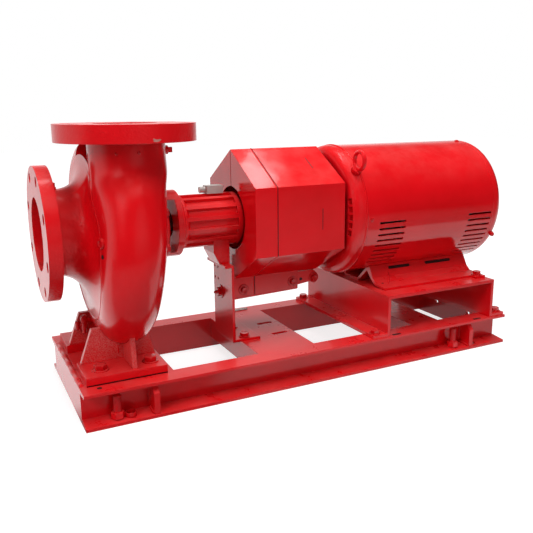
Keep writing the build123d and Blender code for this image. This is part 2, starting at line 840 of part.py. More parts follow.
# Motor foot: formed sheet with a valley, two ridges that carry the shell and two edges on the pedestal
with BuildPart() as motor_foot:
    cradle = motor_radius + seat_gap
    ridge_inner_top = shaft_height - math.sqrt(cradle**2 - motor_foot_ridge_inner**2)
    ridge_outer_top = shaft_height - math.sqrt(cradle**2 - motor_foot_ridge_outer**2)
    step_top = pedestal_top + motor_foot_step_rise
    toe_top = pedestal_top + motor_foot_toe_rise
    sheet_top = pedestal_top + motor_foot_sheet
    with BuildSketch(Plane.YZ.offset(motor_foot_start)):
        with BuildLine():
            Polyline(
                (0, pedestal_top),
                (motor_foot_valley + motor_foot_sheet / 2, pedestal_top),
                (motor_foot_ridge_inner + motor_foot_sheet, ridge_inner_top - motor_foot_sheet),
                (motor_foot_step - motor_foot_sheet, step_top - motor_foot_sheet),
                (motor_foot_toe - motor_foot_sheet / 2, toe_top - motor_foot_sheet),
                (motor_foot_edge, pedestal_top),
                (motor_foot_edge, sheet_top),
                (motor_foot_toe, toe_top),
                (motor_foot_step, step_top),
                (motor_foot_ridge_outer, ridge_outer_top),
            )
            RadiusArc(
                (motor_foot_ridge_outer, ridge_outer_top), (motor_foot_ridge_inner, ridge_inner_top), cradle
            )
            Polyline(
                (motor_foot_ridge_inner, ridge_inner_top),
                (motor_foot_valley, sheet_top),
                (0, sheet_top),
                (0, pedestal_top),
            )
        make_face()
        mirror(about=Plane.YZ)
    extrude(amount=motor_foot_end - motor_foot_start)
    with BuildSketch(Plane.XY.offset(pedestal_top)):
        with Locations((motor_foot_end - motor_foot_lug_length / 2, 0)):
            with GridLocations(0, motor_foot_lug_edge + motor_foot_toe, 1, 2):
                Rectangle(motor_foot_lug_length, motor_foot_lug_edge - motor_foot_toe)
    extrude(amount=motor_foot_sheet)
save(motor_foot, "motor_foot")

# Lifting eye on the near shoulder of the drive end, its ring leaning upwards
with BuildPart() as lifting_eye:
    eye_angle = math.radians(eye_elevation)
    lean_angle = math.radians(eye_lean)
    eye_direction = Vector(0, -math.cos(eye_angle), math.sin(eye_angle))
    ring_direction = Vector(0, -math.cos(lean_angle), math.sin(lean_angle))
    eye_seat = Vector(eye_x, 0, shaft_height) + eye_direction * (motor_radius + seat_gap)
    with BuildSketch(Plane(origin=eye_seat, z_dir=eye_direction)):
        Circle(eye_boss_radius)
    extrude(amount=eye_boss_height)
    eye_centre = eye_seat + eye_direction * eye_boss_height + ring_direction * eye_radius
    with Locations(Plane(origin=eye_centre, x_dir=ring_direction, z_dir=(1, 0, 0))):
        Torus(eye_radius, eye_wire)
save(lifting_eye, "lifting_eye")


def pipe_plug(seat, direction, body, body_length, head):
    """Plug with a round body and a square head, standing on seat along direction."""
    with BuildPart() as plug:
        with BuildSketch(Plane(origin=seat, z_dir=direction)):
            Circle(body)
        extrude(amount=body_length)
        with BuildSketch(Plane(origin=seat, z_dir=direction).offset(body_length)):
            Rectangle(head, head)
        extrude(amount=plug_head_length)
    return plug


suction_plug_x = suction_face + suction_flange_thickness + suction_plug_radius + seat_gap
suction_plug_seat = (suction_plug_x, 0, shaft_height + suction_neck_radius + seat_gap)
discharge_plug_seat = (nozzle_x + neck_radius + seat_gap, discharge_offset, discharge_plug_height)
save(
    pipe_plug(suction_plug_seat, (0, 0, 1), suction_plug_radius, suction_plug_length, suction_plug_head),
    "suction_gauge_plug",
)
save(
    pipe_plug(
        discharge_plug_seat, (1, 0, 0), discharge_plug_radius, discharge_plug_length, discharge_plug_head
    ),
    "discharge_gauge_plug",
)

# Pale oil cup and vent block on top of the barrel
with BuildPart() as oil_cup:
    cup_seat = shaft_height + barrel_radius + rib_height + seat_gap
    knob_centre = (oil_cup_x - oil_cup_length / 2, 0, cup_seat + oil_cup_height / 2)
    with BuildSketch(Plane.XY.offset(cup_seat)):
        with Locations((oil_cup_x, 0)):
            Rectangle(oil_cup_length, oil_cup_width)
    extrude(amount=oil_cup_height)
    with BuildSketch(Plane(origin=knob_centre, z_dir=(-1, 0, 0))):
        Circle(oil_knob_radius)
    extrude(amount=oil_knob_length)
save(oil_cup, "oil_cup")
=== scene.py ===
"""Looks of a base-mounted centrifugal pump: enamel, fasteners, welds, small fittings and a plain stage."""

import json
import math

import bmesh
import bpy
import numpy as np
from bpy.props import FloatProperty, FloatVectorProperty, IntProperty, PointerProperty
from bpy.types import Operator, Panel, PropertyGroup
from mathutils import Matrix, Vector


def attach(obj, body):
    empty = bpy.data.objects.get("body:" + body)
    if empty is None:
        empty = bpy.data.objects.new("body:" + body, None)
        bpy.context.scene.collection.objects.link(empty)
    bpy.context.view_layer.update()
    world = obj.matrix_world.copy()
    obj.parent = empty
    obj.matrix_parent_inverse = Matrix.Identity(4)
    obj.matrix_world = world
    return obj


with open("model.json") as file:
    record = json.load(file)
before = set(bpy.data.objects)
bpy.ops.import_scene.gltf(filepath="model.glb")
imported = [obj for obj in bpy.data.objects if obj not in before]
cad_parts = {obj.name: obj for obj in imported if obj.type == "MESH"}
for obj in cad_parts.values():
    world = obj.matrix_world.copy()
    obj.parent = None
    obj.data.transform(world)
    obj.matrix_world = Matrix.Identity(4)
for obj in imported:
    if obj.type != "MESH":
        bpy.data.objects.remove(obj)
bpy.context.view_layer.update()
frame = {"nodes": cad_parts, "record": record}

bl_info = {
    "name": "Base-mounted pump finish",
    "version": (1, 0, 0),
    "blender": (4, 5, 0),
    "location": "View3D > Sidebar > Pump",
    "description": "Enamel, fasteners, welds and stage for a pump on a channel base",
    "category": "Object",
}

MM = 0.001
SHAFT_HEIGHT = 363


def linear(red, green, blue):
    """Scene-linear colour of an sRGB colour given from 0 to 255."""
    values = []
    for level in (red, green, blue):
        share = level / 255
        values.append(share / 12.92 if share <= 0.04045 else ((share + 0.055) / 1.055) ** 2.4)
    return tuple(values)


def colour_property(name, description, default):
    """Colour that a user may change."""
    return FloatVectorProperty(
        name=name, description=description, default=default, size=3, min=0, max=1, subtype="COLOR"
    )


def length_property(name, description, default):
    """Length that a user may change, in metres."""
    return FloatProperty(
        name=name, description=description, default=default, min=0, precision=5, unit="LENGTH"
    )


def share_property(name, description, default, low=0.0, high=1.0):
    """Share that a user may change."""
    return FloatProperty(
        name=name, description=description, default=default, min=low, max=high, subtype="FACTOR"
    )


def number_property(name, description, default, low=0.0, high=10.0):
    """Plain number that a user may change."""
    return FloatProperty(name=name, description=description, default=default, min=low, max=high)


def power_property(name, description, default):
    """Strength of a lamp that a user may change, in watts."""
    return FloatProperty(name=name, description=description, default=default, min=0, unit="POWER")


class PumpFinishSettings(PropertyGroup):
    """Colours and surface of the paint and the bare metals."""

    enamel: colour_property("Enamel", "Colour of the gloss enamel in even light", linear(231, 13, 25))
    enamel_deep: colour_property(
        "Deep enamel", "Colour where the enamel lies thick or thin over a hollow", linear(212, 8, 16)
    )
    # Dust colour; it is also the pale colour of the painted highlights on the grain tops of the cast webs.
    dust: colour_property("Dust", "Colour of the dust settled on upward faces", linear(226, 168, 160))
    primer: colour_property(
        "Chipped edge", "Colour of the primer where an edge is chipped", linear(214, 142, 132)
    )
    turned_steel: colour_property("Turned steel", "Colour of the bare shafts", linear(176, 172, 170))
    dark_iron: colour_property(
        "Dark iron", "Colour of the coupling and the laminated core", linear(58, 46, 46)
    )
    bare_alloy: colour_property("Bare alloy", "Colour of the pale oil cup", linear(214, 208, 202))
    # Painted shade: this dark red is used only on the guard's pressed marks, to darken their creases.
    crease_shade: colour_property("Plug", "Colour of the dark pipe plugs", linear(104, 20, 24))
    hollow: colour_property("Hollow", "Colour of the shade inside small holes and gaps", linear(42, 4, 7))
    dust_amount: share_property("Dust amount", "Share of the dust colour on a level face", 0.1)
    edge_radius: length_property(
        "Edge radius", "Radius of the soft paint edge that the shading gives to sharp corners", 1.6 * MM
    )
    peel_depth: length_property("Orange peel depth", "Height of the ripple in the enamel", 0.12 * MM)
    grain_depth: length_property(
        "Casting grain depth", "Height of the sand grain under the enamel", 0.9 * MM
    )


class PumpFastenerSettings(PropertyGroup):
    """Sizes of the bolts, nuts and washers."""

    foot_across: length_property("Foot bolt", "Width across flats of the pump foot bolts", 24 * MM)
    pedestal_across: length_property(
        "Pedestal bolt", "Width across flats of the pedestal and motor bolts", 19 * MM
    )
    guard_across: length_property("Guard bolt", "Width across flats of the guard and leg bolts", 14 * MM)
    head_ratio: share_property(
        "Head height", "Height of a head as a share of its width across flats", 0.42, 0.1
    )
    washer_ratio: number_property(
        "Washer radius", "Radius of a washer as a share of the width across flats", 0.72, 0.5, 2
    )
    washer_height: length_property("Washer height", "Thickness of a washer", 2.2 * MM)
    columns: IntProperty(
        name="Columns",
        description="Steps round a bolt, a multiple of six",
        default=36,
        min=12,
        max=120,
    )


class PumpDetailSettings(PropertyGroup):
    """Sizes of the parting line, weld beads and raised marks."""

    seam_width: length_property(
        "Parting line width", "Half the width of the casting's parting line", 1.8 * MM
    )
    skin_offset: length_property(
        "Skin offset", "How far the casing's smooth skin stands off its solid", 0.8 * MM
    )
    weld_radius: length_property("Weld radius", "Radius of a weld bead", 3.2 * MM)
    weld_ripple: length_property("Weld ripple", "Distance between two ripples of a bead", 4.5 * MM)


class PumpStageSettings(PropertyGroup):
    """Floor, lights and camera."""

    camera_place: FloatVectorProperty(
        name="Camera place",
        description="Where the camera stands",
        default=(-0.7428, -1.407, 0.6113),
        size=3,
        subtype="XYZ",
        unit="LENGTH",
    )
    camera_turn: FloatVectorProperty(
        name="Camera turn",
        description="Pitch below level, roll and turn towards +X from the +Y direction",
        default=(math.radians(13.07), math.radians(0.44), math.radians(26.92)),
        size=3,
        subtype="EULER",
        unit="ROTATION",
    )
    lens: FloatProperty(
        name="Lens",
        description="Focal length on a 36 mm sensor, in millimetres",
        default=44.56,
        min=10,
    )
    shift: FloatVectorProperty(
        name="Shift",
        description="Framing of the picture across and up",
        default=(-0.02045, -0.00976),
        size=2,
    )
    floor_size: length_property("Floor size", "Half the side of the floor", 9.0)
    floor_tone: colour_property("Floor tone", "Colour of the floor", (0.35, 0.35, 0.35))
    floor_lift: number_property(
        "Floor lift", "Light that the floor near the object gives to the camera only", 0.8, 0, 1
    )
    floor_glow: number_property(
        "Floor glow",
        "Brightness in glossy paint of the floor behind the object and ahead of its motor half",
        0.95,
    )
    ambient: number_property("Ambient", "Even light from all round", 0.06)
    rear_glow: number_property("Rear glow", "Light of the backdrop behind the object", 0.95)
    key_light: power_property("Key light", "Strength of the wide soft light above the front", 66.0)
    top_light: power_property("Top light", "Strength of the soft light straight above", 46.0)
    left_light: power_property("Left light", "Strength of the light on the suction side", 18.0)
    front_light: power_property("Front light", "Strength of the low soft light in front", 14.0)
    roof_lamp: power_property("Roof lamp", "Strength of the small lamp that the guard's roof mirrors", 0.7)
    ceiling_lamp: power_property(
        "Ceiling lamp", "Strength of the lamp overhead that the glossy paint mirrors", 5.0
    )


def settings():
    """The settings groups of this scene."""
    scene = bpy.context.scene
    return scene.pump_finish, scene.pump_fasteners, scene.pump_details, scene.pump_stage


def place_node(tree, kind, column, row, inputs=None, **properties):
    """New node at a column and row, with its properties and the constants of its inputs set."""
    node = tree.nodes.new(kind)
    node.location = (column * 220, -row * 200)
    for name, value in properties.items():
        setattr(node, name, value)
    for name, value in (inputs or {}).items():
        node.inputs[name].default_value = value
    return node


def map_range(tree, column, row, low, high, start=0.0, end=1.0):
    """Node that turns the range from low to high into the one from start to end."""
    ranges = {"From Min": low, "From Max": high, "To Min": start, "To Max": end}
    return place_node(tree, "ShaderNodeMapRange", column, row, ranges)


def math_node(tree, column, row, operation, **properties):
    """Node for one sum or product."""
    return place_node(tree, "ShaderNodeMath", column, row, operation=operation, **properties)


def noise_node(tree, column, row, scale, detail, roughness):
    """Node with a fractal noise."""
    looks = {"Scale": scale, "Detail": detail, "Roughness": roughness}
    return place_node(tree, "ShaderNodeTexNoise", column, row, looks)


def colour_mix(tree, column, row):
    """Node that mixes two colours."""
    return place_node(tree, "ShaderNodeMix", column, row, data_type="RGBA")


def wire(tree, *links):
    """Link nodes of a tree: each row is a node with its output and a node with its input."""
    for node, output, target, entry in links:
        tree.links.new(node.outputs[output], target.inputs[entry])


def effect_group(name, inputs, outputs):
    """New node group with float inputs {name: default} and outputs {name: socket type}."""
    group = bpy.data.node_groups.new(name, "ShaderNodeTree")
    for label, value in inputs.items():
        socket = group.interface.new_socket(label, in_out="INPUT", socket_type="NodeSocketFloat")
        socket.default_value = value
    for label, kind in outputs.items():
        group.interface.new_socket(label, in_out="OUTPUT", socket_type=kind)
    return group, place_node(group, "NodeGroupInput", -4, 0), place_node(group, "NodeGroupOutput", 6, 0)


def soft_edges_group():
    """Normal of a surface whose sharp corners are rounded by a radius, and a mask of those corners."""
    group, source, sink = effect_group(
        "Soft edges", {"Radius": 0.0015}, {"Normal": "NodeSocketVector", "Edge": "NodeSocketFloat"}
    )
    bevel = place_node(group, "ShaderNodeBevel", -2, 0, samples=6)
    geometry = place_node(group, "ShaderNodeNewGeometry", -2, 1)
    likeness = place_node(group, "ShaderNodeVectorMath", 0, 1, operation="DOT_PRODUCT")
    edge = map_range(group, 2, 1, 0.995, 0.86)
    wire(
        group,
        (source, "Radius", bevel, "Radius"),
        (bevel, "Normal", likeness, 0),
        (geometry, "Normal", likeness, 1),
        (likeness, "Value", edge, "Value"),
        (bevel, "Normal", sink, "Normal"),
        (edge, "Result", sink, "Edge"),
    )
    return group


def orange_peel_group():
    """Height of the fine ripple that sprayed enamel dries with, over slow waves."""
    group, source, sink = effect_group(
        "Orange peel", {"Scale": 260.0, "Waves": 14.0, "Wave height": 1.0}, {"Height": "NodeSocketFloat"}
    )
    place = place_node(group, "ShaderNodeTexCoord", -4, 2)
    fine = place_node(group, "ShaderNodeTexNoise", -2, 0, {"Detail": 2.0, "Roughness": 0.45})
    slow = place_node(group, "ShaderNodeTexNoise", -2, 2, {"Detail": 1.0, "Roughness": 0.4})
    swell = math_node(group, 0, 2, "MULTIPLY")
    both = math_node(group, 2, 0, "MULTIPLY_ADD")
    both.inputs[1].default_value = 0.35
    wire(
        group,
        (place, "Object", fine, "Vector"),
        (place, "Object", slow, "Vector"),
        (source, "Scale", fine, "Scale"),
        (source, "Waves", slow, "Scale"),
        (slow, "Fac", swell, 0),
        (source, "Wave height", swell, 1),
        (fine, "Fac", both, 0),
        (swell, "Value", both, 2),
        (both, "Value", sink, "Height"),
    )
    return group


WEB_MIDDLE = 0.134
WEB_HALF_HEIGHT = 0.0385


def cast_skin_group():
    """Height of a sand-cast skin: rounded grains in patches, over soft hollows.

    On the webs of the casting's feet, which were left as cast, the height grows with Web roughness, and
    the second output is a painted highlight: a mask of the tops of the grains, where their gloss would glint.
    """
    group, source, sink = effect_group(
        "Cast skin",
        {"Grain scale": 230.0, "Patch scale": 11.0, "Web roughness": 0.0},
        {"Height": "NodeSocketFloat", "Specks": "NodeSocketFloat"},
    )
    place = place_node(group, "ShaderNodeTexCoord", -4, 2)
    grain = place_node(group, "ShaderNodeTexVoronoi", -2, 0, {"Randomness": 1.0}, feature="SMOOTH_F1")
    mottle = noise_node(group, -2, 1, 120.0, 4.0, 0.6)
    patches = place_node(group, "ShaderNodeTexNoise", -2, 2, {"Detail": 2.0, "Roughness": 0.5})
    where = map_range(group, 0, 2, 0.36, 0.62, 0.22)
    total = math_node(group, 0, 0, "ADD")
    height = math_node(group, 2, 0, "MULTIPLY")
    split = place_node(group, "ShaderNodeSeparateXYZ", -2, 4)
    web = math_node(group, 0, 4, "COMPARE")
    web.inputs[1].default_value = WEB_MIDDLE
    web.inputs[2].default_value = WEB_HALF_HEIGHT
    fine = noise_node(group, -2, 5, 420.0, 2.0, 0.6)
    tops = map_range(group, 0, 5, 0.35, 0.75)
    # Painted highlight: a mask of the grain tops on the webs, which the enamel mixes towards a pale colour as
    # their glints.
    glint_mask = math_node(group, 2, 4, "MULTIPLY")
    swell = math_node(group, 2, 2, "MULTIPLY_ADD")
    swell.inputs[2].default_value = 1.0
    raised = math_node(group, 4, 0, "MULTIPLY")
    wire(
        group,
        (place, "Object", split, "Vector"),
        (split, "Z", web, 0),
        (place, "Object", fine, "Vector"),
        (fine, "Fac", tops, "Value"),
        (tops, "Result", glint_mask, 0),
        (web, "Value", glint_mask, 1),
        (web, "Value", swell, 0),
        (source, "Web roughness", swell, 1),
        (height, "Value", raised, 0),
        (swell, "Value", raised, 1),
        (glint_mask, "Value", sink, "Specks"),
    )
    for texture in (grain, mottle, patches):
        wire(group, (place, "Object", texture, "Vector"))
    wire(
        group,
        (source, "Grain scale", grain, "Scale"),
        (source, "Patch scale", patches, "Scale"),
        (patches, "Fac", where, "Value"),
        (grain, "Distance", total, 0),
        (mottle, "Fac", total, 1),
        (total, "Value", height, 0),
        (where, "Result", height, 1),
        (raised, "Value", sink, "Height"),
    )
    return group


def settled_dust_group():
    """Mask of dust: level faces first, broken up by cloudy patches and specks."""
    group, source, sink = effect_group("Settled dust", {"Amount": 0.3}, {"Mask": "NodeSocketFloat"})
    geometry = place_node(group, "ShaderNodeNewGeometry", -4, 2)
    place = place_node(group, "ShaderNodeTexCoord", -4, 3)
    split = place_node(group, "ShaderNodeSeparateXYZ", -2, 2)
    upward = map_range(group, 0, 2, 0.35, 0.98)
    clouds = noise_node(group, -2, 3, 17.0, 6.0, 0.62)
    broken = map_range(group, 0, 3, 0.38, 0.66, 0.25)
    mask = math_node(group, 2, 2, "MULTIPLY")
    share = math_node(group, 4, 2, "MULTIPLY", use_clamp=True)
    wire(
        group,
        (geometry, "Normal", split, "Vector"),
        (split, "Z", upward, "Value"),
        (place, "Object", clouds, "Vector"),
        (clouds, "Fac", broken, "Value"),
        (upward, "Result", mask, 0),
        (broken, "Result", mask, 1),
        (mask, "Value", share, 0),
        (source, "Amount", share, 1),
        (share, "Value", sink, "Mask"),
    )
    return group


def chipped_group():
    """Mask of small chips: part of the edge mask where a fine noise is high."""
    group, source, sink = effect_group("Chips", {"Edge": 0.0, "Amount": 0.5}, {"Mask": "NodeSocketFloat"})
    place = place_node(group, "ShaderNodeTexCoord", -4, 1)
    noise = noise_node(group, -2, 1, 95.0, 5.0, 0.65)
    high = map_range(group, 0, 1, 0.64, 0.7)
    mask = math_node(group, 2, 0, "MULTIPLY")
    share = math_node(group, 4, 0, "MULTIPLY", use_clamp=True)
    wire(
        group,
        (place, "Object", noise, "Vector"),
        (noise, "Fac", high, "Value"),
        (high, "Result", mask, 0),
        (source, "Edge", mask, 1),
        (mask, "Value", share, 0),
        (source, "Amount", share, 1),
        (share, "Value", sink, "Mask"),
    )
    return group


def group_node(tree, group, column, row, **values):
    """Node that uses a group, with its float inputs set by name; underscores stand for spaces."""
    node = place_node(tree, "ShaderNodeGroup", column, row)
    node.node_tree = group
    for name, value in values.items():
        node.inputs[name.replace("_", " ")].default_value = value
    return node


def blank_material(name, colour):
    """New node material, its Principled shader and a viewport colour."""
    material = bpy.data.materials.new(name)
    material.use_nodes = True
    material.diffuse_color = (*colour, 1)
    tree = material.node_tree
    shader = tree.nodes["Principled BSDF"]
    shader.location = (1760, 0)
    tree.nodes["Material Output"].location = (2080, 0)
    return material, tree, shader


def enamel_material(
    name, groups, finish, cast=0.0, rough=0.0, peel=1.0, gloss=0.2, chips=0.35, waves=1.0, colour=None
):
    """Gloss enamel: mottled red under a clear coat with orange peel, cast grain with painted glints on rough
    webs, dust and chipped edges.
    """
    colour = tuple(colour or finish.enamel)
    deep = tuple(finish.enamel_deep[i] * colour[i] / finish.enamel[i] for i in range(3))
    material, tree, shader = blank_material(name, colour)
    edges = group_node(tree, groups["edges"], 0, 2, Radius=finish.edge_radius)
    ripple = group_node(tree, groups["peel"], 0, 4, Wave_height=waves)
    dust = group_node(tree, groups["dust"], 0, 0, Amount=finish.dust_amount)
    chip = group_node(tree, groups["chips"], 2, 1, Amount=chips)
    place = place_node(tree, "ShaderNodeTexCoord", 0, 6)
    drift = noise_node(tree, 2, 6, 6.5, 5.0, 0.55)
    tone = map_range(tree, 4, 6, 0.3, 0.72)
    paint = colour_mix(tree, 4, 0)
    dusty = colour_mix(tree, 5, 0)
    worn = colour_mix(tree, 6, 0)
    dull = place_node(tree, "ShaderNodeMix", 5, 2, data_type="FLOAT")
    bump = place_node(tree, "ShaderNodeBump", 6, 3, {"Distance": finish.peel_depth * peel, "Strength": 1.0})
    paint.inputs["A"].default_value = (*deep, 1)
    paint.inputs["B"].default_value = (*colour, 1)
    dusty.inputs["B"].default_value = (*finish.dust, 1)
    worn.inputs["B"].default_value = (*finish.primer, 1)
    dull.inputs["A"].default_value = gloss
    dull.inputs["B"].default_value = 0.75
    wire(
        tree,
        (place, "Object", drift, "Vector"),
        (drift, "Fac", tone, "Value"),
        (tone, "Result", paint, "Factor"),
        (paint, "Result", dusty, "A"),
        (dust, "Mask", dusty, "Factor"),
        (dust, "Mask", dull, "Factor"),
        (edges, "Edge", chip, "Edge"),
        (dusty, "Result", worn, "A"),
        (chip, "Mask", worn, "Factor"),
        (worn, "Result", shader, "Base Color"),
        (dull, "Result", shader, "Roughness"),
        (ripple, "Height", bump, "Height"),
    )
    if cast:
        skin = group_node(tree, groups["cast"], 2, 4, Web_roughness=1.6 * rough)
        depth = {"Distance": finish.grain_depth * cast, "Strength": 0.6}
        grain = place_node(tree, "ShaderNodeBump", 4, 3, depth)
        # Painted highlight: the grain tops of rough cast webs are mixed towards the pale dust colour, as
        # glints.
        pale = map_range(tree, 3, 5, 0.0, 1.0, 0.0, 0.34 * rough)
        glinted_colour = colour_mix(tree, 7, 0)
        glinted_colour.inputs["B"].default_value = (*finish.dust, 1)
        wire(
            tree,
            (skin, "Specks", pale, "Value"),
            (pale, "Result", glinted_colour, "Factor"),
            (worn, "Result", glinted_colour, "A"),
            (glinted_colour, "Result", shader, "Base Color"),
            (skin, "Height", grain, "Height"),
            (edges, "Normal", grain, "Normal"),
            (grain, "Normal", bump, "Normal"),
        )
    else:
        wire(tree, (edges, "Normal", bump, "Normal"))
    wire(tree, (bump, "Normal", shader, "Normal"))
    shader.inputs["Coat Weight"].default_value = 0.25
    shader.inputs["Coat Roughness"].default_value = 0.05
    shader.inputs["Specular IOR Level"].default_value = 0.3
    return material


def metal_material(name, groups, finish, colour, metallic, roughness, grain_scale, grain_depth):
    """Bare metal: stained colour, fine tooling or sand grain and softened corners."""
    material, tree, shader = blank_material(name, colour)
    edges = group_node(tree, groups["edges"], 0, 2, Radius=finish.edge_radius * 0.6)
    dust = group_node(tree, groups["dust"], 0, 0, Amount=finish.dust_amount * 0.6)
    place = place_node(tree, "ShaderNodeTexCoord", 0, 4)
    grain = noise_node(tree, 2, 4, grain_scale, 4.0, 0.6)
    stain = noise_node(tree, 2, 5, 24.0, 6.0, 0.6)
    tone = colour_mix(tree, 4, 0)
    dusty = colour_mix(tree, 5, 0)
    rough = map_range(tree, 4, 5, 0.0, 1.0, roughness * 0.75, roughness * 1.3)
    bump = place_node(tree, "ShaderNodeBump", 5, 3, {"Distance": grain_depth, "Strength": 0.8})
    tone.inputs["A"].default_value = (*[c * 0.62 for c in colour], 1)
    tone.inputs["B"].default_value = (*colour, 1)
    dusty.inputs["B"].default_value = (*finish.dust, 1)
    for texture in (grain, stain):
        wire(tree, (place, "Object", texture, "Vector"))
    wire(
        tree,
        (stain, "Fac", tone, "Factor"),
        (stain, "Fac", rough, "Value"),
        (tone, "Result", dusty, "A"),
        (dust, "Mask", dusty, "Factor"),
        (dusty, "Result", shader, "Base Color"),
        (rough, "Result", shader, "Roughness"),
        (grain, "Fac", bump, "Height"),
        (edges, "Normal", bump, "Normal"),
        (bump, "Normal", shader, "Normal"),
    )
    shader.inputs["Metallic"].default_value = metallic
    return material


def grid_faces(rows, columns, closed):
    """Quads of a grid of rows by columns, its columns joined round when closed."""
    row = np.arange(rows - 1)[:, None]
    column = np.arange(columns if closed else columns - 1)[None, :]
    after = (column + 1) % columns
    low, high = row * columns, (row + 1) * columns
    corners = (low + column, low + after, high + after, high + column)
    return np.stack(np.broadcast_arrays(*corners), -1).reshape(-1, 4)


def copies(points, faces, matrices):
    """One set of points and faces with a copy of the shape at each 4 by 4 matrix."""
    flat = np.c_[points.reshape(-1, 3), np.ones(points.size // 3)]
    placed = np.einsum("nij,pj->npi", np.array(matrices, float), flat)[..., :3]
    shifts = np.arange(len(matrices))[:, None, None] * len(flat)
    return placed.reshape(-1, 3), (faces[None] + shifts).reshape(-1, faces.shape[1])


def add_piece(name, points, faces, material, slot, sharp=35):
    """Finished object at the origin that rides with the frame; corners above sharp degrees stay crisp.

    Points that lie in one place, as at a pole, are joined.
    """
    mesh = bpy.data.meshes.new(name)
    mesh.from_pydata(points.reshape(-1, 3).tolist(), [], faces.tolist())
    shell = bmesh.new()
    shell.from_mesh(mesh)
    bmesh.ops.remove_doubles(shell, verts=shell.verts, dist=0.001 * MM)
    shell.to_mesh(mesh)
    shell.free()
    mesh.shade_smooth()
    mesh.set_sharp_from_angle(angle=math.radians(sharp))
    mesh.materials.append(bpy.data.materials[material])
    piece = bpy.data.objects.new(name, mesh)
    bpy.context.scene.collection.objects.link(piece)
    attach(piece, "root")
    return piece


def axis_frame(place, direction, turn=0.0):
    """Matrix that stands a shape built along +Z at a place in millimetres, pointing along a direction."""
    swing = Vector(direction).normalized().to_track_quat("Z", "Y").to_matrix().to_4x4()
    return Matrix.Translation(Vector(place) * MM) @ swing @ Matrix.Rotation(turn, 4, "Z")


def bolt_surface(across, head, washer, washer_height, columns):
    """Washer and hexagon head in one surface round +Z.

    A point is given by the angle round the axis and a row up the profile. The hexagon's radius is half the
    width across flats over the cosine of the angle to the nearest flat's middle, and the chamfer lowers the
    corners by a part of what they stand out of the inner circle.
    """
    angle = np.linspace(0, 2 * np.pi, columns, endpoint=False)
    flat = (angle + np.pi / 6) % (np.pi / 3) - np.pi / 6
    hexagon = across / 2 / np.cos(flat)
    inner = across / 2 * 0.97
    drop = (hexagon - inner) * 0.58
    level = np.ones(columns)
    lip = washer_height * 0.3
    rows = (
        (washer * level, 0 * level),
        (washer * level, (washer_height - lip) * level),
        ((washer - lip) * level, washer_height * level),
        (hexagon * 0.99, washer_height * level),
        (hexagon, (washer_height + lip) * level),
        (hexagon, washer_height + head - drop),
        (inner * level, (washer_height + head) * level),
        (inner * 0.55 * level, (washer_height + head - lip * 0.6) * level),
        (0 * level, (washer_height + head - lip * 0.6) * level),
    )
    radius, height = np.array(rows).transpose(1, 0, 2)
    points = np.stack([radius * np.cos(angle), radius * np.sin(angle), height], -1)
    return points, grid_faces(len(rows), columns, True)


def bolts_piece(name, across, places, fasteners, material="Fastener enamel", slot="red_paint", washer=None):
    """Bolts of one size at (place, direction, turn) in millimetres."""
    points, faces = bolt_surface(
        across,
        across * fasteners.head_ratio,
        across * (washer or fasteners.washer_ratio),
        fasteners.washer_height,
        fasteners.columns,
    )
    matrices = [axis_frame(place, direction, math.radians(turn)) for place, direction, turn in places]
    return add_piece(name, *copies(points, faces, matrices), material, slot)


def turned_surface(profile, columns):
    """Surface of revolution round +Z: rows are (radius, height) pairs in millimetres, columns the angle."""
    angle = np.linspace(0, 2 * np.pi, columns, endpoint=False)
    radius, height = np.array(profile, float).T * MM
    points = np.stack(
        [radius[:, None] * np.cos(angle), radius[:, None] * np.sin(angle), height[:, None] + 0 * angle], -1
    )
    return points, grid_faces(len(profile), columns, True)


def slot_surface(length, width, ragged=0.0, columns=28):
    """Shaded hole or slot with a fine raised lip, on the XY plane and round the origin.

    The outline is a circle of the width whose two halves are pulled apart to the length by a clamped cosine;
    each further row shrinks the circle and leaves the pull as it is. Ragged is the share by which two sines
    of the angle bend the circle.
    """
    angle = np.linspace(0, 2 * np.pi, columns, endpoint=False)
    pull = np.clip(4 * np.cos(angle), -1, 1) * (length - width) / 2
    width = width * (1 + ragged * (np.sin(3 * angle + 1) + np.sin(7 * angle)))
    share, height = np.array(((1.0, 0.0), (0.86, 0.28), (0.7, 0.16), (0.0, 0.14))).T[..., None]
    radius = share * width / 2
    points = np.stack([pull + radius * np.cos(angle), radius * np.sin(angle), height + 0 * angle], -1)
    return points * MM, grid_faces(len(share), columns, True)


def face_frame(place, normal, along):
    """Matrix that lays a shape of the XY plane on a face, with its X along a direction."""
    up = Vector(normal).normalized()
    side = up.cross(Vector(along)).normalized()
    turn = Matrix((side.cross(up), side, up)).transposed().to_4x4()
    return Matrix.Translation(Vector(place) * MM) @ turn


def strip_surface(path, normals, profile):
    """Profile carried along a path in a plane across X.

    A point is the path's point, moved along X by the profile's first number and along the path's normal by
    its second.
    """
    path, normals, profile = np.array(path, float), np.array(normals, float), np.array(profile, float)
    points = np.zeros((len(path), len(profile), 3))
    points[..., 0] = path[:, :1] + profile[:, 0]
    points[..., 1:] = path[:, None, 1:] + normals[:, None] * profile[:, 1:2]
    return points * MM, grid_faces(len(path), len(profile), False)


def thread_surface(radius, depth, pitch, length, columns=20):
    """Screw thread round +Z.

    The radius swings by half the depth as a cosine of the height over the pitch less the angle, and runs out
    to the root within one pitch of either end.
    """
    height = np.linspace(0, length, int(6 * length / pitch))[:, None]
    angle = np.linspace(0, 2 * np.pi, columns, endpoint=False)[None, :]
    ease = np.clip(np.minimum(height, length - height) / pitch, 0, 1)
    swing = radius + depth / 2 * (ease * (1 + np.cos(2 * np.pi * height / pitch - angle)) - 1)
    points = np.stack([swing * np.cos(angle), swing * np.sin(angle), height + 0 * angle], -1)
    return points * MM, grid_faces(len(height), columns, True)


def slots(rows):
    """Points and faces of the slots at (place, normal, along, length, width) in millimetres."""
    return merged(
        [
            copies(*slot_surface(length, width), [face_frame(place, normal, along)])
            for place, normal, along, length, width in rows
        ]
    )


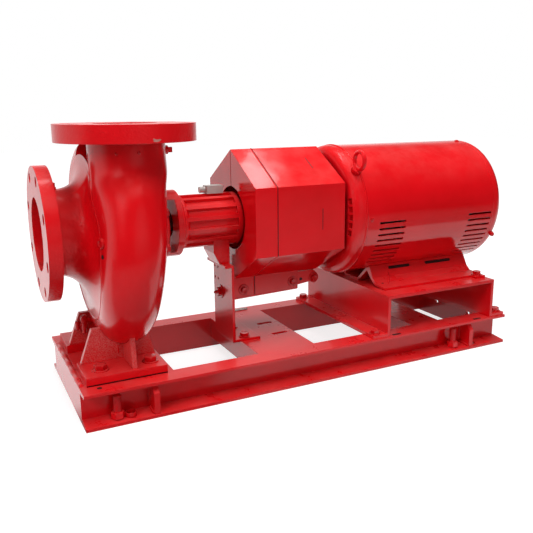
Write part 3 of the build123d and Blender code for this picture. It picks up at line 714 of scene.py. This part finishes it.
def bead_surface(path, radius, ripple, columns=10):
    """Round bead along a path of points in metres.

    The radius swells and shrinks along the path with the ripple's length, as a cosine of the distance run,
    and runs down to nothing at both ends as the square root of the distance to the end.
    """
    path = np.array(path, float)
    tangent = np.gradient(path, axis=0)
    tangent /= np.linalg.norm(tangent, axis=1)[:, None]
    guide = np.where(abs(tangent[:, 2:3]) > 0.9, [[1.0, 0, 0]], [[0, 0, 1.0]])
    side = np.cross(tangent, guide)
    side /= np.linalg.norm(side, axis=1)[:, None]
    up = np.cross(side, tangent)
    run = np.r_[0, np.cumsum(np.linalg.norm(np.diff(path, axis=0), axis=1))]
    ends = np.clip(np.minimum(run, run[-1] - run) / (2 * radius), 0, 1) ** 0.5
    size = radius * ends * (1 + 0.1 * np.cos(2 * np.pi * run / ripple))
    angle = np.linspace(0, 2 * np.pi, columns, endpoint=False)
    ring = np.cos(angle)[None, :, None] * side[:, None] - np.sin(angle)[None, :, None] * up[:, None]
    return path[:, None] + size[:, None, None] * ring, grid_faces(len(path), columns, True)


def straight(start, end, step):
    """Points in metres from start to end, both in millimetres, at most a step in metres apart."""
    start, end = np.array(start, float) * MM, np.array(end, float) * MM
    count = max(3, int(np.linalg.norm(end - start) / step) + 1)
    return start + np.linspace(0, 1, count)[:, None] * (end - start)


def merged(shapes):
    """One set of points and faces from several, all of them grids of quads."""
    points, faces, total = [], [], 0
    for shape_points, shape_faces in shapes:
        flat = shape_points.reshape(-1, 3)
        points.append(flat)
        faces.append(shape_faces + total)
        total += len(flat)
    return np.concatenate(points), np.concatenate(faces)


class PUMP_OT_finish(Operator):
    """Make the materials and give each piece of the frame the finish of its slot"""

    bl_idname = "pump.finish"
    bl_label = "Finish the frame"

    def execute(self, context):
        finish = settings()[0]
        groups = {
            "edges": soft_edges_group(),
            "peel": orange_peel_group(),
            "cast": cast_skin_group(),
            "dust": settled_dust_group(),
            "chips": chipped_group(),
        }
        enamel_material("Rolled steel enamel", groups, finish, cast=0.12, peel=1.0, gloss=0.26)
        enamel_material("Cast iron enamel", groups, finish, cast=1.0, rough=1.0, peel=0.8, gloss=0.3)
        enamel_material("Smooth casting enamel", groups, finish, cast=0.3, peel=0.9, gloss=0.24)
        enamel_material("Sheet enamel", groups, finish, cast=0.0, peel=0.7, gloss=0.12, chips=0.2, waves=14.0)
        enamel_material("Fastener enamel", groups, finish, cast=0.3, colour=[c * 0.8 for c in finish.enamel])
        # Painted shade: dark enamel for the creases of the guard's pressed marks.
        enamel_material("Plug enamel", groups, finish, cast=0.4, gloss=0.35, colour=finish.crease_shade)
        metal_material("Chipped primer", groups, finish, finish.primer, 0.0, 0.6, 260.0, 0.0002)
        # Painted shade inside holes, slots and gaps.
        metal_material("Dark hollow", groups, finish, finish.hollow, 0.0, 0.8, 300.0, 0.0001)
        metal_material("Turned steel", groups, finish, finish.turned_steel, 1.0, 0.3, 900.0, 0.00004)
        metal_material("Dark iron", groups, finish, finish.dark_iron, 0.7, 0.55, 420.0, 0.0002)
        metal_material("Bare alloy", groups, finish, finish.bare_alloy, 0.35, 0.42, 380.0, 0.00025)
        looks = {
            "red_paint": "Rolled steel enamel",
            "red_casting": "Cast iron enamel",
            "red_sheet": "Sheet enamel",
            "steel": "Turned steel",
            "dark_iron": "Dark iron",
            "bare_alloy": "Bare alloy",
        }
        for part in frame["record"]["subparts"]:
            node = frame["nodes"][part["node"]]
            node.data.materials.clear()
            node.data.materials.append(bpy.data.materials[looks[part["material_slot"]]])
        return {"FINISHED"}


class PUMP_OT_base_bolts(Operator):
    """Add the bolts of the pump feet, the pedestal and the motor foot"""

    bl_idname = "pump.base_bolts"
    bl_label = "Base bolts"

    def execute(self, context):
        fasteners = settings()[1]
        up = (0, 0, 1)
        feet = [((x, side * 119, 94.2), up, 20 + x) for x in (-495, -391) for side in (-1, 1)]
        bolts_piece("pump_foot_bolts", fasteners.foot_across, feet, fasteners)
        pedestal = [((x, side * 175, 84.2), up, x) for x in (142, 527) for side in (-1, 1)]
        bolts_piece("pedestal_bolts", fasteners.pedestal_across, pedestal, fasteners)
        motor = [((480, side * 150, 182.5), up, 12) for side in (-1, 1)]
        bolts_piece("motor_foot_bolts", fasteners.pedestal_across, motor, fasteners)
        leg = [((-139, y, 82.2), up, y) for y in (-41, 34)]
        bolts_piece("leg_foot_bolts", fasteners.pedestal_across, leg, fasteners)
        return {"FINISHED"}


class PUMP_OT_guard_bolts(Operator):
    """Add the bolts that hold the guard to its bar and the bar to the leg"""

    bl_idname = "pump.guard_bolts"
    bl_label = "Guard bolts"

    def execute(self, context):
        fasteners = settings()[1]
        flange = [((x, -6, z), (0, -1, 0), turn) for x, z, turn in ((-123, 187, 8), (10, 191, 22))]
        flange += [((72, -3, 193), (0, -1, 0), 15)]
        bolts_piece("guard_flange_bolts", fasteners.guard_across, flange, fasteners, washer=0.95)
        leg = [((-174, 13, 185), (-1, 0, 0), 10)]
        bolts_piece("guard_leg_bolt", fasteners.pedestal_across, leg, fasteners, washer=0.86)
        return {"FINISHED"}


def spline(knots, values, at):
    """Natural cubic spline through rows of values at knots, read at new places.

    The second derivatives solve the usual three-term equations with zero at both ends.
    """
    knots, values, at = np.array(knots, float), np.array(values, float), np.array(at, float)
    gap = np.diff(knots)
    count = len(knots)
    system, right = np.eye(count), np.zeros(values.shape)
    inner = np.arange(1, count - 1)
    system[inner, inner - 1] = gap[:-1]
    system[inner, inner] = 2 * (gap[:-1] + gap[1:])
    system[inner, inner + 1] = gap[1:]
    slope = np.diff(values, axis=0) / gap[:, None]
    right[1:-1] = 6 * np.diff(slope, axis=0)
    bend = np.linalg.solve(system, right)
    cell = np.clip(np.searchsorted(knots, at) - 1, 0, count - 2)
    width, low, high = gap[cell][:, None], (at - knots[cell])[:, None], (knots[cell + 1] - at)[:, None]
    return (
        (bend[cell] * high**3 + bend[cell + 1] * low**3) / (6 * width)
        + (values[cell] / width - bend[cell] * width / 6) * high
        + (values[cell + 1] / width - bend[cell + 1] * width / 6) * low
    )


GUARD_HEIGHT = 367
GUARD_SIDE = 153.5
GUARD_SEAM = -93.3
GUARD_FLANGE_FACE = 6.0
GUARD_FLANGE_BOTTOM = 172.0
# Pressed marks on the guard, drawn as raised slots in a dark red that paints the shade of their creases.
GUARD_MARKS = (
    ((26, -59, 486.6), (0, -0.5, 0.866), (0, 0.866, 0.5), 44, 2.0),
    ((21, -132.94, 365), (0, -1, 0), (0, 0, 1), 49, 2.0),
)


def guard_outline():
    """Points (y, z) and outward directions of the guard's outline, from its front flange over the roof."""
    flat = GUARD_SIDE * math.cos(math.radians(30))
    low, high = GUARD_HEIGHT - GUARD_SIDE / 2, GUARD_HEIGHT + GUARD_SIDE / 2
    root = GUARD_HEIGHT - GUARD_SIDE + GUARD_FLANGE_FACE * math.tan(math.radians(30))
    flange = [(-GUARD_FLANGE_FACE, GUARD_FLANGE_BOTTOM), (-GUARD_FLANGE_FACE, root)]
    half = flange + [(-flat, low), (-flat, high)]
    outline = np.array(half + [(0, GUARD_HEIGHT + GUARD_SIDE)] + [(-y, z) for y, z in reversed(half)])
    run = np.diff(outline, axis=0)
    run /= np.linalg.norm(run, axis=1)[:, None]
    normal = np.stack([-run[:, 1], run[:, 0]], -1)
    before, after = np.r_[normal[:1], normal], np.r_[normal, normal[-1:]]
    return outline, (before + after) / (1 + (before * after).sum(1))[:, None]


class PUMP_OT_guard_seam(Operator):
    """Add painted shade in the gap between the guard's halves, the hem beside it and the two pressed marks,
    painted dark as shade in their creases
    """

    bl_idname = "pump.guard_seam"
    bl_label = "Guard seam"

    def execute(self, context):
        outline, normals = guard_outline()
        path = np.c_[np.full(len(outline), GUARD_SEAM), outline]
        # Painted shade: a dark strip along the seam stands in for the shadow in the gap between the halves.
        gap = ((-0.9, 0.02), (-0.6, 0.22), (0.6, 0.22), (0.9, 0.02))
        add_piece("guard_seam_gap", *strip_surface(path, normals, gap), "Dark hollow", "dark_iron", 80)
        hem = [(-2.4 + 1.4 * math.cos(a), 1.1 * math.sin(a)) for a in np.linspace(math.pi, 0, 9)]
        add_piece("guard_seam_hem", *strip_surface(path, normals, hem), "Sheet enamel", "red_sheet", 50)
        # Painted shade: the pressed marks are darkened to stand in for the shade in their creases.
        add_piece("guard_pressed_marks", *slots(GUARD_MARKS), "Plug enamel", "red_sheet", 60)
        return {"FINISHED"}


ALONG = (1, 0, 0)
# Painted shade: dark dishes for the holes and slots of the rails, motor foot and guard bar, and dark strips
# for the shadow line under the front and rear edges of the pump's feet.
HOLES = (
    ((-509, -168, 76.2), (0, 0, 1), ALONG, 10, 10),
    ((199, -186, 76.2), (0, 0, 1), ALONG, 26, 9),
    ((456, -186, 76.2), (0, 0, 1), ALONG, 26, 9),
    ((278, -83.3, 215.0), (0, -0.87, 0.5), ALONG, 68, 8),
    ((403.5, -83.5, 214.6), (0, -0.87, 0.5), ALONG, 85, 8),
    ((208, -111.4, 185.2), (0, -0.07, 1), ALONG, 6, 6),
    ((35.5, -3.0, 193), (0, -1, 0), ALONG, 8, 8),
    ((-448, -155, 77.9), (0, -1, 0), ALONG, 166, 2.6),
    ((-448, 155, 77.9), (0, 1, 0), ALONG, 166, 2.6),
)


class PUMP_OT_small_holes(Operator):
    """Add painted shade for the small holes, slots and gaps of the rails, feet and guard bar, and the chip on
    the top rim
    """

    bl_idname = "pump.small_holes"
    bl_label = "Small holes"

    def execute(self, context):
        add_piece("small_holes_and_slots", *slots(HOLES), "Dark hollow", "dark_iron", 60)
        chip = slot_surface(length=15, width=5, ragged=0.3)
        place = face_frame((-384, -219.8, 556), (0.16, -0.99, 0), ALONG)
        add_piece("rim_chip", *copies(*chip, [place]), "Chipped primer", "bare_alloy", 60)
        return {"FINISHED"}


BUTTON = ((10, -2), (10, 4.6), (9.2, 5.8), (5, 6), (4.2, 4.8), (0, 4.6))
BUTTON_PLACE = ((-484.5, -166, 364), (-0.93, -0.36, 0.05))
SEAM_HOLE = ((-486.5, -171.5, 339), (-0.97, -0.24, 0.05), (0, 0, 1), 9, 9)
COLLAR = ((11.8, 0), (11.8, 8.2), (11.2, 9), (10.3, 9), (9.7, 8.4), (9.7, 0))
COLLAR_PLACE = ((-452, -175, 8.4), (0, 0, 1))
COCK_OUTLET = ((0, 0), (3.5, 0), (5.2, 2), (5.2, 9), (6.3, 10), (6.3, 24))
COCK = (
    ((*COCK_OUTLET, (8, 26), (8, 35), (6.5, 38), (6.5, 41), (3, 43), (0, 43)), (-492, 45, 122), (0, 0, 1)),
    (((0, 0), (3.6, 0), (5.2, 1.5), (5.2, 18.5), (3.6, 20), (0, 20)), (-506, 50, 131), (0, 0, 1)),
    (((6, 0), (6, 24)), (-493, 45, 153), (1, 0, 0)),
    (((2.6, 0), (2.6, 15)), (-492, 45.5, 141), (-0.95, 0.3, 0)),
)
DOME = ((1.0, -0.4), (0.97, 0.5), (0.76, 0.86), (0.42, 1.0), (0.0, 1.0))
DOMES = (
    (6, 9, (532, -139.3, 286.4), (0, -0.876, -0.482)),
    (6, 4, (505, -20, 520.6), (0, -0.125, 0.992)),
    (5, 1.8, (138, -159, 358), (0, -1, -0.03)),
    (3.4, 1.6, (-442.6, -150, 529.4), (-0.46, -0.89, 0)),
    (3.4, 1.6, (-402, -159.2, 530.5), (0.04, -1, 0)),
    (5, 18, (-174, 13, 185), (-1, 0, 0)),
)
SHELL_BEAD = ((158.4, -2.6), (160.2, -2.2), (161.2, 0), (160.2, 2.2), (158.4, 2.6))
SHELL_FRONT = ((125, 0, SHAFT_HEIGHT), (1, 0, 0))
CLIP_CENTRE = (-54, 176, 77)


def turned(profile, place, columns):
    """Turned shape at a place in millimetres and along a direction."""
    return copies(*turned_surface(profile, columns), [axis_frame(*place)])


class PUMP_OT_small_fittings(Operator):
    """Add the plug on the scroll's parting line, the drain cock, screw heads, cast lumps, collar and clip"""

    bl_idname = "pump.small_fittings"
    bl_label = "Small fittings"

    def execute(self, context):
        paint = ("Fastener enamel", "red_paint")
        cock = [turned(profile, (place, direction), 24) for profile, place, direction in COCK]
        domes = [
            turned([(radius * r, height * h) for r, h in DOME], (place, direction), 24)
            for radius, height, place, direction in DOMES
        ]
        add_piece("parting_line_plug", *turned(BUTTON, BUTTON_PLACE, 36), *paint)
        # Painted shade: a dark dish for the small hole below the plug.
        add_piece("parting_line_hole", *slots([SEAM_HOLE]), "Dark hollow", "dark_iron")
        add_piece("drain_cock", *merged(cock), *paint)
        add_piece("screw_heads_and_lumps", *merged(domes), *paint)
        add_piece("anchor_collar", *turned(COLLAR, COLLAR_PLACE, 36), *paint)
        bead = turned(SHELL_BEAD, SHELL_FRONT, 160)
        add_piece("motor_shell_bead", *bead, "Sheet enamel", "red_sheet", 60)
        clip = self.clip(length=40, width=14, rise=2.6)
        add_piece("rail_clip", *clip, "Bare alloy", "bare_alloy", 60)
        return {"FINISHED"}

    def clip(self, length, width, rise):
        """Thin strip bent up along its middle.

        Across it the outline is a flat ellipse whose height gains the rise times one minus the square of the
        share of the half width; along it the outline keeps its size and closes in at both ends.
        """
        along = np.array([-0.5, -0.499, -0.46, 0, 0.46, 0.499, 0.5])[:, None] * length
        size = np.array([0, 0.8, 1, 1, 1, 0.8, 0])[:, None]
        angle = np.linspace(0, 2 * np.pi, 20, endpoint=False)[None, :]
        across = size * width / 2 * np.cos(angle)
        up = size * (0.8 * np.sin(angle) + rise * (1 - np.cos(angle) ** 2))
        points = np.stack([along + 0 * angle, across, up], -1) + np.array(CLIP_CENTRE)
        return points * MM, grid_faces(len(along), len(angle[0]), True)


class PUMP_OT_threads(Operator):
    """Add the threads of the four levelling screws"""

    bl_idname = "pump.threads"
    bl_label = "Threads"

    def execute(self, context):
        places = [axis_frame((x, side * 175, 24), (0, 0, 1)) for x in (-478, 387) for side in (-1, 1)]
        thread = thread_surface(radius=8.35, depth=0.6, pitch=2.0, length=33.5)
        add_piece("levelling_screw_threads", *copies(*thread, places), "Fastener enamel", "red_paint", 60)
        return {"FINISHED"}


SCROLL_STATIONS = (
    (12, -414, 157, 70, 36),
    (42, -414, 162, 70, 42),
    (72, -414, 168, 70, 48),
    (102, -414, 174, 70, 53.5),
    (132, -415, 180, 68, 58),
    (160, -417, 185.5, 64.5, 60.5),
    (186, -421, 188, 61, 61),
    (211, -427, 189, 59, 59),
    (235, -429, 182, 60, 60),
    (258, -424.5, 165, 62.5, 62.5),
    (280, -418, 148.5, 65, 65),
)
NECK_STATIONS = (
    (-415, -122, 428, 70.5, 78, 284),
    (-411, -100, 460, 74, 83, 279),
    (-406, -87, 487, 76, 81, 273),
    (-406, -83, 514, 76.3, 77.5, 270),
    (-406, -82, 549, 76.3, 76.3, 270),
)


CONE_FLANGE = -548
CONE_WAIST = -505
CONE_RADIUS = 88.7
CONE_FLARE = 52
CONE_TOP = (-60, 505)
SEAM_ROWS = slice(150, -8)
LINE_STEPS = 400
COVER_FACE = -338
COVER_BOLT_CIRCLE = 99
COVER_BOLT = 17


def scroll_line(steps):
    """Rows of x, y, z, half width, half height and tilt along the scroll and up the neck, in millimetres.

    The stations of the scroll are angles from the top over the far side, with the section's place along
    the shaft, its distance from the shaft, half its width and half its height. The tilt is the angle at
    which a section's height points outwards.
    """
    rows = []
    for angle, x, distance, width, height in SCROLL_STATIONS:
        a = math.radians(angle)
        rows.append((x, distance * math.sin(a), SHAFT_HEIGHT + distance * math.cos(a), width, height, angle))
    rows = np.array(rows + list(NECK_STATIONS), float)
    run = np.r_[0, np.cumsum(np.linalg.norm(np.diff(rows[:, :3], axis=0), axis=1))]
    return spline(run, rows, np.linspace(0, run[-1], steps))


class PUMP_OT_casing_skin(Operator):
    """Add the smooth outer skin of the scroll with its neck, and of the cone behind the suction flange"""

    bl_idname = "pump.casing_skin"
    bl_label = "Casing skin"

    def execute(self, context):
        details = settings()[2]
        offset = details.skin_offset / MM
        scroll = self.scroll(steps=200, columns=72, offset=offset)
        cone = self.cone(rows=28, columns=144, offset=offset)
        add_piece("scroll_skin", *scroll, "Smooth casting enamel", "red_casting", 60)
        add_piece("suction_cone_skin", *cone, "Cast iron enamel", "red_casting", 60)
        return {"FINISHED"}

    def scroll(self, steps, columns, offset):
        """Tube along the scroll line.

        Round each section the point at angle a lies at h cos a plus (w - h) times a clamped cosine along the
        shaft, and at h sin a along the tilt, which draws a slot of half width w and half height h.
        """
        line = scroll_line(steps)
        tilt = np.radians(line[:, 5:6])
        a = np.linspace(2 * np.pi, 0, columns, endpoint=False)[None, :]
        width, height = line[:, 3:4] + offset, line[:, 4:5] + offset
        along = height * np.cos(a) + (width - height) * np.clip(4 * np.cos(a), -1, 1)
        across = height * np.sin(a)
        points = np.stack(
            [
                line[:, 0:1] + along,
                line[:, 1:2] + across * np.sin(tilt),
                line[:, 2:3] + across * np.cos(tilt),
            ],
            -1,
        )
        return points * MM, grid_faces(steps, columns, True)

    def cone(self, rows, columns, offset):
        """Flared cone between the suction neck and the scroll's left wall.

        At each angle round the shaft the profile is a cubic Bezier curve: it leaves the neck along the shaft
        and reaches the line of the scroll's leftmost points running outwards.
        """
        line = scroll_line(LINE_STEPS)
        line = line[: np.argmax((line[:, 1] < CONE_TOP[0]) & (line[:, 2] > CONE_TOP[1]))]
        turn = np.unwrap(np.arctan2(line[:, 1], line[:, 2] - SHAFT_HEIGHT))
        reach = np.hypot(line[:, 1], line[:, 2] - SHAFT_HEIGHT)
        wall = line[:, 0] - line[:, 3]
        angle = np.linspace(2 * np.pi, 0, columns, endpoint=False) + turn[0]
        end_r = np.interp(angle, np.r_[turn, turn[0] + 2 * np.pi], np.r_[reach, reach[0]])
        end_x = np.interp(angle, np.r_[turn, turn[0] + 2 * np.pi], np.r_[wall, wall[0]]) - offset
        neck = CONE_RADIUS + offset
        t = np.linspace(0, 1, rows)[:, None]
        knots = ((CONE_FLANGE, neck), (CONE_WAIST, neck), (end_x, end_r - CONE_FLARE), (end_x, end_r))
        weights = ((1 - t) ** 3, 3 * t * (1 - t) ** 2, 3 * t**2 * (1 - t), t**3)
        x = sum(weight * knot[0] for weight, knot in zip(weights, knots))
        r = sum(weight * knot[1] for weight, knot in zip(weights, knots))
        x, r = np.broadcast_arrays(x, r)
        points = np.stack([x, r * np.sin(angle), SHAFT_HEIGHT + r * np.cos(angle)], -1)
        return points * MM, grid_faces(rows, columns, True)


class PUMP_OT_casing_details(Operator):
    """Add the casing's parting lines and its cover bolts"""

    bl_idname = "pump.casing_details"
    bl_label = "Casing details"

    def execute(self, context):
        fasteners, details = settings()[1:3]
        line = scroll_line(LINE_STEPS)[SEAM_ROWS]
        shapes = []
        for side in (-1, 1):
            path = line[:, :3] + np.array([1.0, 0, 0]) * side * line[:, 3:4]
            shapes.append(bead_surface(path * MM, details.seam_width, 0.05, 8))
        add_piece("casing_parting_lines", *merged(shapes), "Smooth casting enamel", "red_casting", 60)
        cover = []
        for angle in np.radians(np.arange(22.5, 360, 45)):
            y, z = COVER_BOLT_CIRCLE * math.cos(angle), COVER_BOLT_CIRCLE * math.sin(angle)
            cover.append(((COVER_FACE, y, SHAFT_HEIGHT + z), (1, 0, 0), 0))
        bolts_piece("casing_cover_bolts", COVER_BOLT * MM, cover, fasteners)
        return {"FINISHED"}


STIFFENER_FACES = (-407, -395, 427, 439)
RAIL_WEB = 155


class PUMP_OT_weld_beads(Operator):
    """Add the weld beads of the fabricated base"""

    bl_idname = "pump.weld_beads"
    bl_label = "Weld beads"

    def execute(self, context):
        details = settings()[2]
        step = details.weld_ripple / 6
        shapes = []
        for side in (-1, 1):
            for x in STIFFENER_FACES:
                upright = straight((x, side * RAIL_WEB, 14), (x, side * RAIL_WEB, 62), step)
                level = straight((x, side * (RAIL_WEB + 1), 11.5), (x, side * 190, 9), step)
                for path in (upright, level):
                    shapes.append(bead_surface(path, details.weld_radius, details.weld_ripple))
        add_piece("stiffener_weld_beads", *merged(shapes), "Rolled steel enamel", "red_paint", 80)
        edge = bead_surface(straight((-539, -150, 73), (-539, 150, 73), 0.003), 6.2 * MM, 0.05, 16)
        add_piece("end_plate_weld_bead", *edge, "Rolled steel enamel", "red_paint", 80)
        foot_line = np.array([(243, -88, 207.5), (236, -98, 194), (230, -106, 187.5), (200, -146, 177)])
        ridges = [
            bead_surface(foot_line * MM, 2 * MM, 0.05, 10),
            bead_surface(straight((-445.5, -72, 120), (-446, -72, 104), 0.002), 1.5 * MM, 0.05, 8),
        ]
        add_piece("motor_foot_and_web_ridges", *merged(ridges), "Rolled steel enamel", "red_paint", 80)
        return {"FINISHED"}


BACKDROP = (-0.45, 0.89, 0)
FLOOR_ROWS = 9
LAMPS = (
    ("Key light", "key_light", (0.1, -1.3, 3.0), (0, 0, 0.2), (2.8, 1.6), False),
    ("Top light", "top_light", (0.2, 0.4, 3.2), (0.1, 0, 0.2), (2.4, 1.6), False),
    ("Left light", "left_light", (-1.9, -1.1, 1.5), (-0.3, 0, 0.3), (0.9, 0.9), False),
    ("Front light", "front_light", (0.4, -3.2, 1.1), (0.1, 0, 0.3), (2.4, 1.0), False),
    ("Roof lamp", "roof_lamp", (0.7, 0.62, 2.1), (-0.08, -0.06, 0.46), (0.2, 0.16), True),
    ("Ceiling lamp", "ceiling_lamp", (-0.25, 0.45, 2.4), (0, 0, 0.3), (0.9, 0.28), True),
)


class PUMP_OT_stage(Operator):
    """Set up the floor, the lights, the world and the camera"""

    bl_idname = "pump.stage"
    bl_label = "Stage"

    def execute(self, context):
        stage = settings()[3]
        scene = context.scene
        self.add_floor(scene, stage)
        self.add_world(scene, stage)
        for name, strength, place, target, size, mirrored in LAMPS:
            light = self.add_light(scene, name, place, target, size, getattr(stage, strength))
            light.visible_glossy = mirrored
        camera = bpy.data.objects.new("Camera", bpy.data.cameras.new("Camera"))
        scene.collection.objects.link(camera)
        camera.data.sensor_width = 36
        camera.data.lens = stage.lens
        camera.data.shift_x, camera.data.shift_y = stage.shift
        camera.data.clip_end = 60
        pitch, roll, turn = stage.camera_turn
        camera.location = stage.camera_place
        camera.rotation_mode = "XYZ"
        tilt = Matrix.Rotation(math.pi / 2 - pitch, 4, "X") @ Matrix.Rotation(-roll, 4, "Z")
        camera.rotation_euler = (Matrix.Rotation(-turn, 4, "Z") @ tilt).to_euler()
        scene.camera = camera
        scene.view_settings.view_transform = "Standard"
        return {"FINISHED"}

    def add_floor(self, scene, stage):
        """Level floor as a coarse grid, in one pale tone."""
        line = np.linspace(-stage.floor_size, stage.floor_size, FLOOR_ROWS)
        x, y = np.meshgrid(line, line)
        points = np.stack([x, y, 0 * x], -1)
        mesh = bpy.data.meshes.new("Floor")
        faces = grid_faces(FLOOR_ROWS, FLOOR_ROWS, False)
        mesh.from_pydata(points.reshape(-1, 3).tolist(), [], faces.tolist())
        material, tree, shader = blank_material("Pale floor", tuple(stage.floor_tone))
        shader.inputs["Base Color"].default_value = (*stage.floor_tone, 1)
        shader.inputs["Roughness"].default_value = 0.9
        shader.inputs["Specular IOR Level"].default_value = 0.1
        shader.inputs["Emission Color"].default_value = (1, 1, 1, 1)
        path = place_node(tree, "ShaderNodeLightPath", 2, 2)
        place = place_node(tree, "ShaderNodeTexCoord", -2, 3)
        split = place_node(tree, "ShaderNodeSeparateXYZ", 0, 4)
        far = place_node(tree, "ShaderNodeVectorMath", 0, 3, operation="LENGTH")
        white = map_range(tree, 2, 3, 0.85, 2.0, stage.floor_lift, 1.0)
        edge = map_range(tree, 0, 5, -0.3, 0.0, -0.15, -0.68)
        inside = math_node(tree, 1, 4, "SUBTRACT")
        bright = map_range(tree, 2, 4, 0.0, 0.1, 0.0, stage.floor_glow)
        seen = math_node(tree, 4, 3, "MULTIPLY")
        mirrored = math_node(tree, 4, 4, "MULTIPLY")
        glow = math_node(tree, 6, 3, "ADD")
        wire(
            tree,
            (place, "Object", far, 0),
            (place, "Object", split, "Vector"),
            (far, "Value", white, "Value"),
            (split, "X", edge, "Value"),
            (split, "Y", inside, 0),
            (edge, "Result", inside, 1),
            (inside, "Value", bright, "Value"),
            (path, "Is Camera Ray", seen, 0),
            (white, "Result", seen, 1),
            (path, "Is Glossy Ray", mirrored, 0),
            (bright, "Result", mirrored, 1),
            (seen, "Value", glow, 0),
            (mirrored, "Value", glow, 1),
            (glow, "Value", shader, "Emission Strength"),
        )
        mesh.materials.append(material)
        floor = bpy.data.objects.new("Floor", mesh)
        scene.collection.objects.link(floor)

    def add_world(self, scene, stage):
        """White to the camera; light that is brightest above and behind the object."""
        world = bpy.data.worlds.new("Studio")
        scene.world = world
        world.use_nodes = True
        tree = world.node_tree
        light = tree.nodes["Background"]
        place = place_node(tree, "ShaderNodeTexCoord", -6, 0)
        split = place_node(tree, "ShaderNodeSeparateXYZ", -5, 0)
        behind = place_node(tree, "ShaderNodeVectorMath", -5, 2, operation="DOT_PRODUCT")
        behind.inputs[1].default_value = BACKDROP
        above = map_range(tree, -4, 0, 0.22, 0.5, 1.0, 0.0)
        rear = map_range(tree, -4, 2, 0.1, 0.5, 0.0, stage.rear_glow)
        band = math_node(tree, -3, 1, "MULTIPLY")
        total = math_node(tree, -2, 1, "ADD")
        total.inputs[1].default_value = stage.ambient
        white = place_node(tree, "ShaderNodeBackground", 0, 2, {"Color": (1, 1, 1, 1), "Strength": 1.0})
        path = place_node(tree, "ShaderNodeLightPath", 0, -2)
        seen = place_node(tree, "ShaderNodeMixShader", 2, 0)
        wire(
            tree,
            (place, "Generated", split, "Vector"),
            (place, "Generated", behind, 0),
            (split, "Z", above, "Value"),
            (behind, "Value", rear, "Value"),
            (above, "Result", band, 0),
            (rear, "Result", band, 1),
            (band, "Value", total, 0),
            (total, "Value", light, "Strength"),
        )
        light.inputs["Color"].default_value = (1, 1, 1, 1)
        wire(
            tree,
            (path, "Is Camera Ray", seen, "Fac"),
            (light, "Background", seen, 1),
            (white, "Background", seen, 2),
            (seen, "Shader", tree.nodes["World Output"], "Surface"),
        )

    def add_light(self, scene, name, place, target, size, power):
        """Soft rectangular light aimed at a target."""
        data = bpy.data.lights.new(name, "AREA")
        data.shape = "RECTANGLE"
        data.size, data.size_y = size
        data.energy = power
        light = bpy.data.objects.new(name, data)
        light.location = place
        light.rotation_euler = (Vector(target) - Vector(place)).to_track_quat("-Z", "Y").to_euler()
        scene.collection.objects.link(light)
        return light


class PUMP_PT_panel(Panel):
    """Sidebar panel with the pump's operators and settings"""

    bl_idname = "PUMP_PT_panel"
    bl_label = "Pump"
    bl_space_type = "VIEW_3D"
    bl_region_type = "UI"
    bl_category = "Pump"

    def draw(self, context):
        layout = self.layout
        for operator in OPERATORS:
            layout.operator(operator.bl_idname)
        for group in settings():
            box = layout.box()
            for name in group.__annotations__:
                box.prop(group, name)


GROUPS = {
    "pump_finish": PumpFinishSettings,
    "pump_fasteners": PumpFastenerSettings,
    "pump_details": PumpDetailSettings,
    "pump_stage": PumpStageSettings,
}
OPERATORS = (
    PUMP_OT_finish,
    PUMP_OT_base_bolts,
    PUMP_OT_guard_bolts,
    PUMP_OT_guard_seam,
    PUMP_OT_small_holes,
    PUMP_OT_small_fittings,
    PUMP_OT_threads,
    PUMP_OT_casing_skin,
    PUMP_OT_casing_details,
    PUMP_OT_weld_beads,
    PUMP_OT_stage,
)


def register():
    """Register the classes and hang the settings on the scene."""
    for name, group in GROUPS.items():
        bpy.utils.register_class(group)
        setattr(bpy.types.Scene, name, PointerProperty(type=group))
    for cls in (*OPERATORS, PUMP_PT_panel):
        bpy.utils.register_class(cls)


def unregister():
    """Undo register."""
    for cls in reversed((*OPERATORS, PUMP_PT_panel)):
        bpy.utils.unregister_class(cls)
    for name, group in reversed(GROUPS.items()):
        delattr(bpy.types.Scene, name)
        bpy.utils.unregister_class(group)


def main():
    """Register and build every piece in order."""
    register()
    for operator in OPERATORS:
        family, name = operator.bl_idname.split(".")
        getattr(getattr(bpy.ops, family), name)()


if __name__ == "__main__":
    main()
